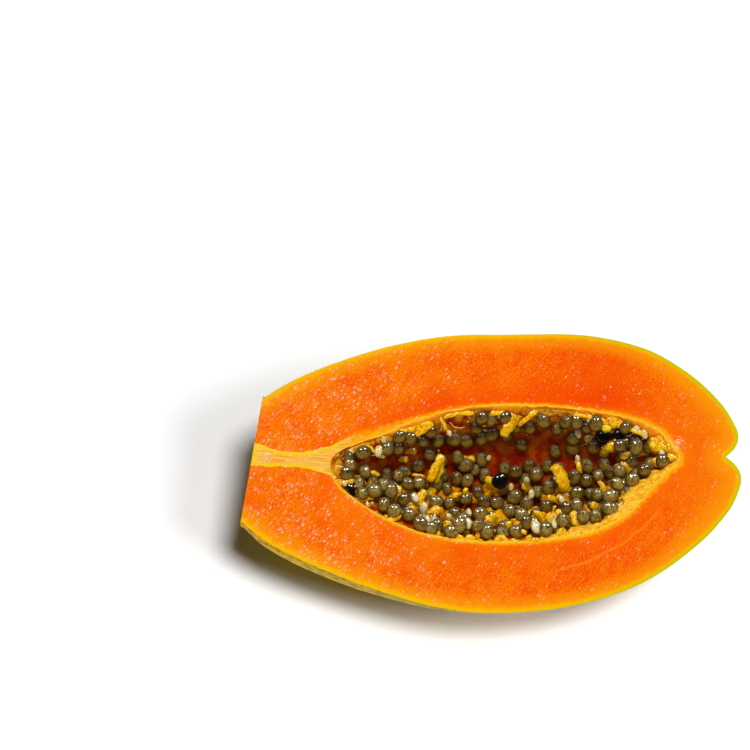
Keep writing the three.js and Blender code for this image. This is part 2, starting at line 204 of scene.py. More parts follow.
def rim_point(angle):
    """The cavity's edge in the direction of angle from its middle."""
    reach = np.interp(angle, RIM_ANGLE, RIM_REACH, period=2 * math.pi)
    return CAVITY_MIDDLE + reach[..., None] * np.stack([np.cos(angle), np.sin(angle)], -1)


def to_row(points):
    """Points of the fruit's frame, in mm, in the row frame, in metres and none below the floor."""
    x, y, z = np.moveaxis(np.asarray(points, float), -1, 0)
    tipped = np.stack([x, y * math.cos(TIP) - z * math.sin(TIP), y * math.sin(TIP) + z * math.cos(TIP)], -1)
    row_points = (tipped + MIDDLE_TO_ORIGIN) / 1000
    row_points[:, 2] = np.maximum(row_points[:, 2], 0)
    return row_points


def rough(points, size, octaves=3, offset=0.0):
    """Smooth noise from -1 to 1 at each point. size is that of its largest lumps, in the points' unit."""
    flat = np.asarray(points, float).reshape(-1, 3) / size + offset
    values = [noise.fractal(Vector(p), 1.0, 2.0, octaves) for p in flat]
    return np.clip(np.array(values), -1, 1).reshape(np.shape(points)[:-1])


# ---- Outside of the fruit ----

def section(x, half_width):
    """Middle, radii and lobe height of the fruit's section at x."""
    lift = along(LIFT, x) * np.minimum(half_width / LIFT_FULL_FROM, 1)
    height = DEPTH_SHARE * half_width + lift
    width = half_width / np.sqrt(1 - (lift / height) ** 2)
    lobe = LOBE_HEIGHT + (SHOULDER_LOBE_HEIGHT - LOBE_HEIGHT) * smoothstep(x, *SHOULDER)
    return along(SIDE_SHIFT, x), lift, width, height, lobe


def outside(x, half_width, share):
    """Points of the skin below the cut. share runs from 0, where y is lowest, under the fruit to 1."""
    shift, lift, width, height, lobe = section(x, half_width)
    first, last = np.full_like(x, math.pi), np.full_like(x, 2 * math.pi)
    for _ in range(EDGE_PASSES):
        dip = lift / height
        first = math.pi + np.arcsin(dip / (1 + lobe * np.cos(LOBES * (first - LOBE_PHASE))))
        last = 2 * math.pi - np.arcsin(dip / (1 + lobe * np.cos(LOBES * (last - LOBE_PHASE))))
    angle = first + share * (last - first)
    reach = 1 + lobe * np.cos(LOBES * (angle - LOBE_PHASE))
    from_furrow = np.arctan2(np.sin(angle - FURROW_ANGLE), np.cos(angle - FURROW_ANGLE))
    furrow = hump(from_furrow, FURROW_WIDTH)
    y = shift + width * reach * np.cos(angle)
    z = lift + height * reach * np.sin(angle)
    return np.stack([x + furrow * (np.minimum(x, FURROW_FLOOR) - x), y, z], -1)


def skin_rings():
    """Rings of the skin from the slanted stem cut to just before the blossom dimple's bottom."""
    share = np.linspace(0, 1, COLUMNS + 1)
    start = np.full(COLUMNS + 1, STEM_CUT_AT)
    for _ in range(STEM_PASSES):
        half_width = np.interp(start, *OUTLINE_RISING.T)
        start = STEM_CUT_AT + math.tan(STEM_CUT_SLANT) * outside(start, half_width, share)[:, 1]
    x = start + (BODY_FROM - start) * np.linspace(0, 1, RINGS_STEM, endpoint=False)[:, None]
    stem_part = outside(x, np.interp(x, *OUTLINE_RISING.T), share)

    rest = OUTLINE_FINE[np.argmax(OUTLINE_FINE[:, 0] >= BODY_FROM):]
    length = np.r_[0, np.cumsum(np.linalg.norm(np.diff(rest, axis=0), axis=1))]
    even = np.linspace(0, 1, RINGS_BODY, endpoint=False)
    at = length[-1] * ((1 + RINGS_CROWDED) * even - RINGS_CROWDED * even**2)
    x, half_width, share = np.broadcast_arrays(*(np.interp(at, length, v)[:, None] for v in rest.T), share)
    rings = np.concatenate([stem_part, outside(x, half_width, share)])
    rings[:, [0, -1], 2] = 0
    return rings


# ---- Meshes ----

def grid_faces(numbers, closed):
    """Faces of four corners between numbered points. Where closed, the last column meets the first."""
    if closed:
        numbers = np.c_[numbers, numbers[:, :1]]
    corners = [numbers[:-1, :-1], numbers[:-1, 1:], numbers[1:, 1:], numbers[1:, :-1]]
    return np.stack(corners, -1).reshape(-1, 4).tolist()


class Patches:
    """Grids of points that are sewn together along the points they share."""

    def __init__(self):
        self.points, self.faces, self.kinds = [], [], []

    def add(self, grid, kind=0, closed=False):
        numbers = sum(map(len, self.points)) + np.arange(grid[..., 0].size).reshape(grid.shape[:2])
        self.points.append(grid.reshape(-1, 3))
        self.add_faces(grid_faces(numbers, closed), kind)
        return numbers

    def add_faces(self, faces, kind=0):
        self.faces += faces
        self.kinds += [kind] * len(faces)

    def sewn(self):
        """The points, the faces without repeated corners, their kinds, and which of all points are kept."""
        points = np.concatenate(self.points)
        keys = np.round(points / SEWN_WITHIN).astype(int)
        _, first, number = np.unique(keys, axis=0, return_index=True, return_inverse=True)
        number = number.reshape(-1).tolist()
        faces, kinds = [], []
        for face, kind in zip(self.faces, self.kinds):
            corners = list(dict.fromkeys(number[corner] for corner in face))
            if len(corners) > 2:
                faces.append(corners)
                kinds.append(kind)
        return points[first], faces, np.array(kinds), first


def vertex_normals(points, faces):
    """Unit normals of the points, from the faces of three or four corners round each."""
    corners = np.array([face if len(face) == 4 else face + face[:1] for face in faces])
    a, b, c, d = (points[corners[:, k]] for k in range(4))
    total = np.zeros_like(points)
    for k in range(4):
        np.add.at(total, corners[:, k], np.cross(c - a, d - b))
    return unit(total)


def piece(name, points, faces, materials, kinds=None, sharp_from=180, **attributes):
    """An object of the row frame from points of the fruit's frame. Its mesh carries them as "place"."""
    mesh = bpy.data.meshes.new(name)
    mesh.from_pydata(to_row(points).tolist(), [], faces)
    place = mesh.attributes.new("place", "FLOAT_VECTOR", "POINT")
    place.data.foreach_set("vector", points.astype(np.float32).ravel())
    for key, values in attributes.items():
        attribute = mesh.attributes.new(key, "FLOAT", "POINT")
        attribute.data.foreach_set("value", np.asarray(values, np.float32))
    for material in materials:
        mesh.materials.append(material)
    if kinds is not None:
        mesh.polygons.foreach_set("material_index", np.asarray(kinds, np.int32))
    mesh.polygons.foreach_set("use_smooth", [True] * len(mesh.polygons))
    mesh.set_sharp_from_angle(angle=math.radians(sharp_from))
    mesh.update()
    made = bpy.data.objects.new(name, mesh)
    bpy.context.scene.collection.objects.link(made)
    return made


def set_places(made, points):
    """Moves a piece's vertices, and leaves its attribute "place" as it was."""
    made.data.vertices.foreach_set("co", to_row(points).astype(np.float32).ravel())
    made.data.update()


def gap_to(points, line, batch=4000):
    """Distance from each point to the nearest point of a line."""
    parts = [points[i:i + batch] for i in range(0, len(points), batch)]
    return np.concatenate([np.sqrt(((p[:, None] - line[None]) ** 2).sum(-1).min(1)) for p in parts])


# ---- Cavity ----

def dipped(rim, dip):
    """Points of the cavity's wall, each dip below a point of its rim, up to a quarter turn at the bottom."""
    dip = np.asarray(dip)[..., None]
    across = (rim - CAVITY_MIDDLE) * np.cos(dip) + CAVITY_MIDDLE
    down = np.broadcast_to(-CAVITY_DEPTH * np.sin(dip), across[..., :1].shape)
    return np.concatenate([across, down], -1)


def wall_point(turn, dip):
    """A point of the wall: turn goes once round the rim, and dip goes down from it."""
    return dipped(catmull_rom(CAVITY_RIM, np.mod(turn, 1), closed=True), dip)


def inside_wall(turn, dip, inset):
    """The same point moved into the cavity by inset, square to the wall."""
    turn, dip = np.broadcast_arrays(np.asarray(turn, float), np.asarray(dip, float))
    around = wall_point(turn + SMALL_STEP, dip) - wall_point(turn - SMALL_STEP, dip)
    down = wall_point(turn, dip + SMALL_STEP) - wall_point(turn, dip - SMALL_STEP)
    return wall_point(turn, dip) + unit(np.cross(around, down)) * np.asarray(inset)[..., None]


# ---- Fruit ----

SKIN, FLESH, WALL = 0, 1, 2  # kinds of faces, in the order of the materials

# Lines across the cut face, as (x, y) or as (x, width)
UPPER_STREAK = [
    (-12, 15), (0, 12.6), (5, 11.3), (11, 9.2), (17, 7.6), (24, 7.2), (30, 7.8), (35, 9.2), (40, 11.4),
    (46, 13.8), (57, 17), (75, 23), (98, 27.2), (210, 28),
]
LOWER_STREAK = [
    (-12, 2.8), (3, 2.4), (11, 2.3), (18, 1.9), (26, 1.3), (30.4, -0.3), (35, -1.9), (38, -2.9), (41.4, -6.7),
    (46, -11.4), (61, -21), (210, -30),
]
CAVITY_AXIS = [(30, 1), (110, -3), (182, 0.5), (210, 2)]
BAND_ABOVE = [(30, 1), (43, 4.4), (57, 3.4), (75, 1.8), (98, 1.2), (150, 1.4), (182, 2.4), (210, 2.4)]
BAND_BELOW = [(30, 1), (45, 0.9), (80, 1.2), (120, 1.5), (160, 1.9), (182, 2.4), (210, 2.4)]
FAINT_ARC = [(110, -50), (131, -44.4), (147.6, -38.9), (164.7, -28.3), (175.6, -18), (190, -4)]

# How far torn pulp under the rim reaches in, as (x, reach), and the share of it at each depth
LEDGE_ABOVE = [
    (36, 0.3), (46, 0.3), (58, 0.8), (66, 2.4), (78, 3), (86, 1.6), (98, 1.3), (104, 2), (112, 2.4),
    (122, 1.6), (130, 1), (142, 1.3), (150, 1.8), (160, 1.6), (170, 2.4), (178, 3.4), (184, 3),
]
LEDGE_BELOW = [
    (36, 0.5), (60, 0.6), (85, 1), (92, 2), (100, 1.2), (125, 1.5), (135, 3.2), (148, 4), (153, 5.5),
    (158, 7.5), (163, 7), (168, 5.5), (173, 4), (184, 3),
]
LEDGE_PROFILE = [
    (0, 0), (0.3, 0.35), (0.8, 0.6), (1.5, 0.8), (3, 0.95), (4, 1), (5.5, 0.9), (8, 0.5), (11, 0.1), (14, 0),
]

CUT_FROM = -1e-6  # the height that the points of the cut face lie above
SHARP_FROM = 40
SKIN_SHRINK = 0.55  # keeps the waves of the skin within the solid
SKIN_WAVES = (0.3, 26)  # height and size
EDGE_AXIS = (20, 190)  # the cut's outer edge waves square to this part of the axis
FACE_WAVES = [(0.24, 14, 3, 0), (0.07, 3.2, 2, 90)]  # height, size, octaves and shift of each noise
OUTER_EDGE = (0.16, 0.6)  # how far the face falls towards the skin, and how near to it
WALL_LUMPS = (0.5, 4.5)  # height and size
LEDGE_STANDS = (0.15, 0.85, 1.8)  # least, mean and most of its reach
LEDGE_SWINGS = ((0.65, 7), (0.45, 2.4))  # of that share: height and size, coarse and fine
LEDGE_GRAIN = [0.6, 1, 1]
LEDGE_WAVES = (0.4, 2.4)  # up and down: height and size
RIM_WAVER = (3.5, 1.2, 1.5)  # size, and its reach over the face and down the wall
RIM_WAVER_ABOVE, RIM_WAVER_BELOW = 0.6, 0.3
RIM_ROUNDING_ABOVE, RIM_ROUNDING_BELOW = 0.1, 0.55


def axis_gap(points):
    """How far each point lies above the cavity's long axis, as the photo shows it."""
    return points[..., 1] - along(CAVITY_AXIS, points[..., 0])


def ledge_width(points):
    """How far the torn pulp under the rim reaches in from the wall."""
    above = smoothstep(axis_gap(points), -2, 2)
    return along(LEDGE_BELOW, points[..., 0]) * (1 - above) + along(LEDGE_ABOVE, points[..., 0]) * above


def golden_reach(points):
    """How far down from the rim the wall is golden and fibrous."""
    return 1.3 + 1.1 * ledge_width(points) + 3 * smoothstep(points[..., 0], 46, 38)


def face_grid(outer):
    """Rings of the cut face, from the outer edge to the cavity's rim."""
    toward = outer[:, :2] - CAVITY_MIDDLE
    inner = np.c_[rim_point(np.arctan2(toward[:, 1], toward[:, 0])), np.zeros(len(outer))]
    length = np.linalg.norm(outer - inner, axis=1)
    edge = np.array([0] + FACE_EDGE)
    share = np.linspace(0, 1, FACE_MIDDLE_RINGS + 1)[1:-1, None]
    near, far = edge[-1], length - edge[-1]
    distance = np.concatenate([
        np.broadcast_to(edge[:, None], (len(edge), len(outer))),
        near + share * (far - near)[None],
        length[None] - edge[::-1][:, None],
    ])
    share = (distance / length)[..., None]
    grid = outer[None] * (1 - share) + inner[None] * share
    grid[-1] = inner
    return grid


def fruit_shell():
    """Points, faces and kinds of the even fruit, the edge of its skin and the rim of its cavity."""
    rings = skin_rings()
    tip = np.array([OUTLINE[-1][0], along(SIDE_SHIFT, OUTLINE[-1][0]), 0.0])
    stem = rings[0]
    share = np.linspace(0, 1, COLUMNS + 1)[:, None]
    stem_line = stem[0] + share * (stem[-1] - stem[0])
    face = face_grid(np.concatenate([rings[:, 0], tip[None], rings[::-1, -1], stem_line[-2:0:-1]]))
    wall = dipped(face[-1:, :, :2], WALL_DIPS[:, None])
    wall[-1] = [*CAVITY_MIDDLE, -CAVITY_DEPTH]
    cap_share = np.linspace(0, 1, STEM_CAP_ROWS + 1)[:, None, None]

    patches = Patches()
    patches.add(np.concatenate([rings, np.broadcast_to(tip, (1, COLUMNS + 1, 3))]), SKIN)
    patches.add(face, FLESH, closed=True)
    patches.add(wall, WALL, closed=True)
    patches.add(stem_line[None] * (1 - cap_share) + stem[None] * cap_share, FLESH)
    points, faces, kinds, _ = patches.sewn()
    return points, faces, kinds, np.concatenate([rings[:, 0], rings[:, -1], stem]), face[-1]


def waves(points, normals, on_face, on_skin, skin_gap):
    """How far each point moves as the skin waves a little, the cut's edge with it, and the cut isn't flat."""
    flat = points * [1, 1, 0]
    axis = np.stack([np.clip(points[:, 0], *EDGE_AXIS), np.ones(len(points)), np.zeros(len(points))], -1)
    outward = np.where(on_face[:, None], unit(flat - axis), normals)
    height, size = SKIN_WAVES
    wave = -SKIN_SHRINK - height * rough(points, size, 3)
    wave *= np.where(on_face, 1 - smoothstep(skin_gap, 0, 8), on_skin)
    moves = outward * wave[:, None]

    inner_part = on_face * smoothstep(skin_gap, 0.3, 4)
    for height, size, octaves, shift in FACE_WAVES:
        moves[:, 2] += inner_part * height * (rough(flat + shift, size, octaves) - 1)
    fall, reach = OUTER_EDGE
    moves[:, 2] -= on_face * fall * np.clip(1 - skin_gap / reach, 0, 1) ** 2
    return moves


def tears(points, normals, on_face, on_wall, wall_gap):
    """How far each point moves as the wall is lumpy and torn pulp stands out from it in a ragged ledge."""
    depth = -points[:, 2]
    height, size = WALL_LUMPS
    lumps = height * rough(points, size, 3) * smoothstep(wall_gap, 1, 4)
    moves = normals * (on_wall * lumps)[:, None]
    least, mean, most = LEDGE_STANDS
    (coarse, coarse_size), (fine, fine_size) = LEDGE_SWINGS
    torn = smoothstep(depth, 1.5, 4) * rough(points * LEDGE_GRAIN, fine_size, 4)
    ragged = np.clip(mean + coarse * rough(points, coarse_size, 3, 5.0) + fine * torn, least, most)
    ledge = ledge_width(points) * np.interp(depth, *np.transpose(LEDGE_PROFILE)) * ragged
    moves += unit(normals * [1, 1, 0] * on_wall[:, None]) * ledge[:, None]
    height, size = LEDGE_WAVES
    fade = smoothstep(depth, 0.3, 1.5) * smoothstep(depth, 9, 5)
    moves[:, 2] += on_wall * height * rough(points + 50, size, 3) * fade

    above = axis_gap(points)
    size, over_face, down_wall = RIM_WAVER
    edge = np.where(on_face, hump(wall_gap, over_face), on_wall * hump(depth, down_wall))
    waver = np.where(above > 0, RIM_WAVER_ABOVE, RIM_WAVER_BELOW) * rough(points * [1, 1, 0] + 30, size, 4)
    moves[:, :2] += unit(CAVITY_MIDDLE - points[:, :2]) * (waver * edge)[:, None]
    rounding = RIM_ROUNDING_BELOW + (RIM_ROUNDING_ABOVE - RIM_ROUNDING_BELOW) * smoothstep(above, -2, 6)
    moves[:, 2] -= on_face * rounding * np.clip(1 - wall_gap / over_face, 0, 1) ** 2
    moves[:, 2] -= on_wall * rounding * smoothstep(depth, 4, 0)
    return moves


def below_cut(on_face, faces, kinds, kind):
    """Whether each point lies below the cut and has a face of this kind."""
    used = np.zeros(len(on_face), bool)
    used[[corner for face, its_kind in zip(faces, kinds) if its_kind == kind for corner in face]] = True
    return used & ~on_face


def make_fruit(materials):
    points, faces, kinds, skin_edge, rim = fruit_shell()
    x, y, z = points.T
    on_face = z > CUT_FROM
    on_skin, on_wall = below_cut(on_face, faces, kinds, SKIN), below_cut(on_face, faces, kinds, WALL)
    skin_gap, wall_gap = gap_to(points, skin_edge), gap_to(points, rim)
    above = axis_gap(points)
    band = np.where(above > 0, along(BAND_ABOVE, x), along(BAND_BELOW, x))
    attributes = {
        "skin_gap": skin_gap,
        "wall_gap": wall_gap,
        "rim_share": wall_gap / band,
        "upper_streak": y - along(UPPER_STREAK, x),
        "lower_streak": y - along(LOWER_STREAK, x),
        "faint_arc": y - along(FAINT_ARC, x),
        "below_golden": -z - golden_reach(points),
        "shaded": smoothstep(above, -2, 6) * ~on_face,
    }
    normals = vertex_normals(points, faces)
    moved = points + waves(points, normals, on_face, on_skin, skin_gap)
    moved += tears(points, normals, on_face, on_wall, wall_gap)

    # The look of the wall follows its ledge, and that of the skin and the flesh the even shape
    looked_up = np.where(on_wall[:, None], moved, points)
    made = piece("fruit", looked_up, faces, materials, kinds, SHARP_FROM, **attributes)
    set_places(made, moved)
    return made


# ---- Lining ----

LINING = (0.4, 2.7)  # distances of its two faces from the wall
LINING_GRID = (340, 48)
LINING_HOLE = 0.004  # how far from the bottom its last ring stays
LUMP_HEIGHT = 5.5


def make_lining(material):
    columns, rows = LINING_GRID
    turn = np.arange(columns)[None] / columns
    rim = wall_point(turn, np.zeros_like(turn))
    top = golden_reach(rim) * 0.9 + 1.1 * rough(rim, 7, 3) + 4 * smoothstep(-axis_gap(rim), 0, 8)
    first = np.arcsin(np.clip(top, 1.2, 15) / CAVITY_DEPTH)
    share = np.linspace(0, 1, rows)[:, None]
    dip = first + (math.pi / 2 - LINING_HOLE - first) * share
    outer = inside_wall(turn, dip, LINING[0])
    heap = smoothstep(3 - axis_gap(outer), 0, 9) * smoothstep(share, 0.02, 0.2)
    raised = np.clip(rough(outer + 17, 5.5, 3) + 0.25, -0.2, 1)
    thick = LINING[1] - LINING[0] + 0.55 * rough(outer, 5, 3) + heap * (0.4 + LUMP_HEIGHT * raised)
    inner = inside_wall(turn, dip, LINING[0] + thick * (0.3 + 0.7 * smoothstep(share, 0, 0.08)))

    patches = Patches()
    numbers = patches.add(np.concatenate([outer[::-1], inner]), closed=True)
    patches.add_faces([numbers[0].tolist(), numbers[-1][::-1].tolist()])
    points, faces, _, first = patches.sewn()
    attributes = {
        "below_golden": -points[:, 2] - golden_reach(points),
        "heap": np.concatenate([heap[::-1], heap]).ravel()[first],
        "raised": np.concatenate([heap * 0, heap * raised]).ravel()[first],
    }
    return piece("lining", points, faces, [material], **attributes)


# ---- Seeds ----

def seeded_draws(state):
    """Draws from 0 to 1 (mulberry32), the same ones as in the part's source."""
    while True:
        state = (state + 0x6D2B79F5) & 0xFFFFFFFF
        t = ((state ^ (state >> 15)) * (state | 1)) & 0xFFFFFFFF
        t = ((t + (((t ^ (t >> 7)) * (t | 61)) & 0xFFFFFFFF)) ^ t) & 0xFFFFFFFF
        yield ((t ^ (t >> 14)) & 0xFFFFFFFF) / 4294967296


def cavity_share(points):
    """How far out each point lies in the cavity: 0 in the middle of the cut, 1 on the wall."""
    toward = points[:, :2] - CAVITY_MIDDLE
    reach = np.linalg.norm(rim_point(np.arctan2(toward[:, 1], toward[:, 0])) - CAVITY_MIDDLE, axis=1)
    return np.hypot(np.linalg.norm(toward, axis=1) / reach, points[:, 2] / CAVITY_DEPTH), reach


def at_share(points, share):
    """The points moved straight out from or in to the cavity's middle, as far as share."""
    middle = np.array([*CAVITY_MIDDLE, 0.0])
    return middle + (points - middle) * (share / cavity_share(points)[0])[:, None]


def seed_places():
    """Middle, turn and size of each seed, and whether it is one of the top seeds or was thrown."""
    places = []
    for share, middles in TOP_SEEDS:
        flat = np.array([(x, y, 0) for x, y in middles], float)
        depth = CAVITY_DEPTH * np.sqrt(np.clip(share**2 - cavity_share(flat)[0] ** 2, 0, None))
        flat[:, 2] = -np.maximum(depth, RIM_SEED_DEPTH)
        places += [(at, True) for at in flat]
    draws = seeded_draws(RANDOM_START)
    for inset, spacing, throws, heaped in SEED_LAYERS:
        pairs = np.array([(next(draws), next(draws)) for _ in range(throws)])
        middles = inside_wall(pairs[:, 0], np.arcsin(pairs[:, 1]), np.full(throws, inset))
        for at in middles:
            on_heap = HEAP[0][0] < at[0] < HEAP[1][0] and HEAP[0][1] < at[1] < HEAP[1][1]
            if at[2] > -RIM_SEED_DEPTH or (heaped and not on_heap):
                continue
            if any((((at - middle) / radii) ** 2).sum() < 1 for middle, radii in BARE_PATCHES):
                continue
            if any(((at - other[0]) ** 2).sum() < spacing**2 for other in places):
                continue
            places.append((at, False))
    seeds = []
    for at, on_top in places:
        angles = [2 * math.pi * next(draws) for _ in range(3)]
        size = 1 + SIZE_SPREAD * (2 * next(draws) - 1)
        seeds.append((at, turned(*angles), size, on_top))
    return seeds


PUSH_APART, PUSH_CLEAR = 0.3, 0.5  # shares of an overlap that are undone in a pass
HIDES_WITHIN = 9  # how near to a thing a seed has to be to hide it
HIDES_FROM = 3  # and how far below its middle it may lie


def settled(middles, on_top, kept_clear):
    """The thrown seeds slid along the lining, apart from the others and from the things they would hide."""
    at = middles.copy()
    share = cavity_share(at)[0]
    for _ in range(SLIDES):
        push = np.zeros_like(at)
        apart = at[:, None] - at[None]
        distance = np.linalg.norm(apart, axis=2) + TINY
        overlap = np.clip(NEAREST_SEEDS - distance, 0, None)
        push += (apart / distance[..., None] * overlap[..., None]).sum(1) * PUSH_APART
        for thing, radius in kept_clear:
            apart = (at - thing) * [1, 1, 0]
            distance = np.linalg.norm(apart, axis=1, keepdims=True) + TINY
            near = np.linalg.norm(at - thing, axis=1, keepdims=True) < HIDES_WITHIN
            hides = (at[:, 2:] > thing[2] - HIDES_FROM) & near
            overlap = np.clip(SEED_RADII[1] * 0.85 + radius - distance, 0, None)
            push += apart / distance * overlap * hides * PUSH_CLEAR
        moved = at + push
        _, reach = cavity_share(moved)
        toward = moved[:, :2] - CAVITY_MIDDLE
        out = np.linalg.norm(toward, axis=1) / reach
        limit = np.sqrt(np.clip(share**2 - (RIM_SEED_DEPTH / CAVITY_DEPTH) ** 2, 0, None))
        moved[:, :2] = CAVITY_MIDDLE + toward * np.minimum(1, limit / out)[:, None]
        moved[:, 2] = -CAVITY_DEPTH * np.sqrt(np.clip(share**2 - np.minimum(out, limit) ** 2, 0.004, None))
        at = np.where(np.array(on_top)[:, None], at, moved)
    return at


def turned(x, y, z):
    """A rotation about Z, then Y, then X."""
    return np.array(Matrix.Rotation(x, 3, "X") @ Matrix.Rotation(y, 3, "Y") @ Matrix.Rotation(z, 3, "Z"))


def unit_ball(fineness):
    """Points and faces of a ball of radius 1, split evenly."""
    mesh = bmesh.new()
    bmesh.ops.create_icosphere(mesh, subdivisions=fineness, radius=1)
    points = np.array([v.co for v in mesh.verts])
    faces = [[v.index for v in f.verts] for f in mesh.faces]
    mesh.free()
    return points, faces


class Grains:
    """Many small balls, each shaped and placed on its own, that make one piece."""

    def __init__(self, fineness):
        self.ball, self.ball_faces = unit_ball(fineness)
        self.points, self.faces, self.values = [], [], []

    def add(self, at, radii, turn, lumps, lump_size, **values):
        seed = 7.3 * len(self.points)
        swell = 1 + lumps * rough(self.ball, lump_size, 2, seed)
        start = len(self.points) * len(self.ball)
        self.points.append(np.asarray(at) + (self.ball * swell[:, None] * radii) @ turn.T)
        self.faces += [[i + start for i in face] for face in self.ball_faces]
        _, back, up = (self.ball @ turn.T).T
        self.values.append({**values, "back": back, "up": up})

    def made(self, name, material):
        values = {}
        for key in self.values[0]:
            values[key] = np.concatenate([np.broadcast_to(each[key], len(self.ball)) for each in self.values])
        return piece(name, np.concatenate(self.points), self.faces, [material], **values)


# ---- Strands and lumps of pulp ----

SIDE_HINT = (0.3, 0.2, 1)  # a direction that no tube sets out in


class Sweeps:
    """Many closed, lumpy tubes that make one piece."""

    def __init__(self):
        self.points, self.faces = [], []

    def add(self, path, radii, sides, lumps=0.0, lump_size=1.5, flat=1.0):
        """A tube along path with a radius at each of its points. flat squeezes it in one direction."""
        path, radii = np.asarray(path, float), np.asarray(radii, float)
        ahead = unit(np.gradient(path, axis=0))
        side = np.cross(ahead[0], SIDE_HINT)
        rings = []
        angles = np.linspace(0, 2 * math.pi, sides, endpoint=False)[:, None]
        for centre, forward, radius in zip(path, ahead, radii):
            side = unit(side - forward * (side @ forward))
            other = np.cross(forward, side)
            rings.append(centre + radius * (np.cos(angles) * side + flat * np.sin(angles) * other))
        grid = np.array(rings)
        if lumps:
            swell = 1 + lumps * rough(grid, lump_size, 3, 11.0 + len(self.points))
            grid = path[:, None] + (grid - path[:, None]) * swell[..., None]
        numbers = sum(map(len, self.points)) + np.arange(grid[..., 0].size).reshape(-1, sides)
        self.faces += grid_faces(numbers, closed=True)
        self.faces += [numbers[0, ::-1].tolist(), numbers[-1].tolist()]
        self.points.append(grid.reshape(-1, 3))

    def made(self, name, material):
        return piece(name, np.concatenate(self.points), self.faces, [material])


STRAND_ROOT = 3
STRAND_BEND = 0.12
STRAND_SWELLING = [(0, 1.15), (0.2, 0.85), (0.4, 1.2), (0.6, 0.8), (0.8, 1.1), (1, 0.75)]
PALE_SEED_RADII = (1.4, 1.4, 2.1)
STRAND_STEPS = 34


def strand_path(root, end):
    """The bent middle line of a strand, with its root sunk into the flesh."""
    root, end = np.array(root, float), np.array(end, float)
    reach = end - root
    start = root - unit(reach) * STRAND_ROOT
    sideways = unit(np.array([reach[1], -reach[0], 0]))
    bend = (start + end) / 2 + sideways * STRAND_BEND * np.linalg.norm(reach)
    t = np.linspace(0, 1, STRAND_STEPS)[:, None]
    return (1 - t) ** 2 * start + 2 * t * (1 - t) * bend + t**2 * end


def rounded_ends(t, width=0.07):
    """Radius share along a tube that closes roundly at both ends."""
    near = np.clip(np.minimum(t, 1 - t) / width, 0, 1)
    return np.sqrt(np.clip(1 - (1 - near) ** 2, 0.0004, 1))


def make_strands(material):
    sweeps = Sweeps()
    t = np.linspace(0, 1, STRAND_STEPS)
    swelling = along(STRAND_SWELLING, t) * rounded_ends(t)
    for root, end, radius, _ in STRANDS:
        sweeps.add(strand_path(root, end), radius * swelling, 18, 0.5, 2.2, 0.75)
    return sweeps.made("strands", material)


PULP_LUMPS = [  # top between the seeds, radius
    ((75, -11.5, -11.5), 1.7), ((112, 20.5, -6), 2.4), ((97, 6.5, -17), 2.0),
    ((118, -5.5, -16), 1.8), ((127.5, -20, -8.5), 2.6), ((137, -22, -5.5), 1.9), ((136.5, -19.5, -6.5), 1.8),
    ((128, -10.5, -14.5), 1.4), ((132, -10.5, -14.5), 1.4), ((131, -27, -3.2), 2.5),
    ((135.5, -27, -3.2), 2.3), ((118.5, -29, -3.5), 1.7), ((91, -28.5, -3.2), 1.9),
    ((95.5, -28.5, -3.2), 2.1), ((82.5, -15, -10.5), 2.1),
    ((86.5, -21.5, -7.5), 1.6), ((84, -23.5, -6), 1.4), ((82, -26.5, -4), 1.4), ((90.5, -8, -15.5), 1.4),
    ((105, -17.5, -12), 1.9), ((106, -29.5, -2.6), 1.3), ((57, -9.5, -5.5), 1.8), ((55, -11, -4.5), 1.5),
    ((46.5, -4.5, -2.8), 1.5), ((66, -19.5, -3), 1.3), ((66, -17.5, -3.5), 1.1), ((154, 18, -3.2), 2.9),
    ((157, 17, -3), 1.8), ((152.5, 8.5, -9), 2.5), ((171, 7, -2.8), 2.7), ((157, -14, -6.5), 2.2),
    ((151, -22.5, -3), 1.8), ((145, 13.5, -13.5), 1.7), ((73, 10, -12.5), 1.7), ((69.5, 7, -14.5), 1.5),
    ((177.5, 7, -2.3), 2.2), ((174, 10.5, -2.6), 1.9), ((76, 19.5, -3), 2.0), ((102.5, 19, -7.5), 0.9),
    ((110, 23.5, -2.6), 1.7), ((115, 24, -2.6), 1.5), ((140.5, 22.5, -2.3), 1.3), ((144.5, 21.5, -2.3), 1.1),
    ((172, 1, -5), 2.4), ((178, 2.5, -2.4), 1.6), ((111, -21.5, -10), 1.5), ((122, -17, -12), 1.4),
    ((145.5, -15.5, -9), 1.6), ((72, -15, -8), 1.4), ((159, 4.5, -8.5), 1.5), ((96.5, -21.5, -9.5), 1.5),
]
PULP_RIBBONS = [  # from, to, radius
    ((78.5, -4, -9.5), (84, 6.5, -8.5), 1.9), ((73.5, -14, -9.5), (75.5, -9.5, -10.5), 1.7),
    ((113, 23.5, -2.5), (110.5, 15.5, -5), 2.4),
    ((131.5, 2, -10.5), (135, -7, -12), 3.0), ((124.5, 25, -2), (117, 19.5, -4), 1.1),
    ((64, 14.8, -2.1), (71.5, 17.2, -2.1), 1.5), ((70.5, 17.8, -1.9), (79, 19.2, -1.9), 1.4),
    ((79.5, 20, -2), (73, 15.4, -3.2), 1.6), ((83, 22.6, -1.6), (85, 18.2, -3.4), 0.9),
    ((84.5, 22, -1.6), (97.5, 23.2, -1.6), 1.1), ((104.5, 23.4, -1.8), (112.5, 22.2, -2.4), 1.3),
    ((139.5, 22, -1.8), (146.5, 20.2, -2), 1.1), ((147.5, 20.6, -1.8), (152.5, 18.2, -2.6), 1.2),
    ((160, 16.2, -1.8), (167.5, 12.8, -1.9), 1.1), ((171.5, 11, -1.9), (178, 6, -2), 1.6),
]
RIM_LUMPS = 260
BARE_RIM = (40, 66)  # the stretch, in x, of the upper rim without lumps
BED_STRANDS = 50
BED_ALONG = (50, 172)  # the stretch, in x, where they start
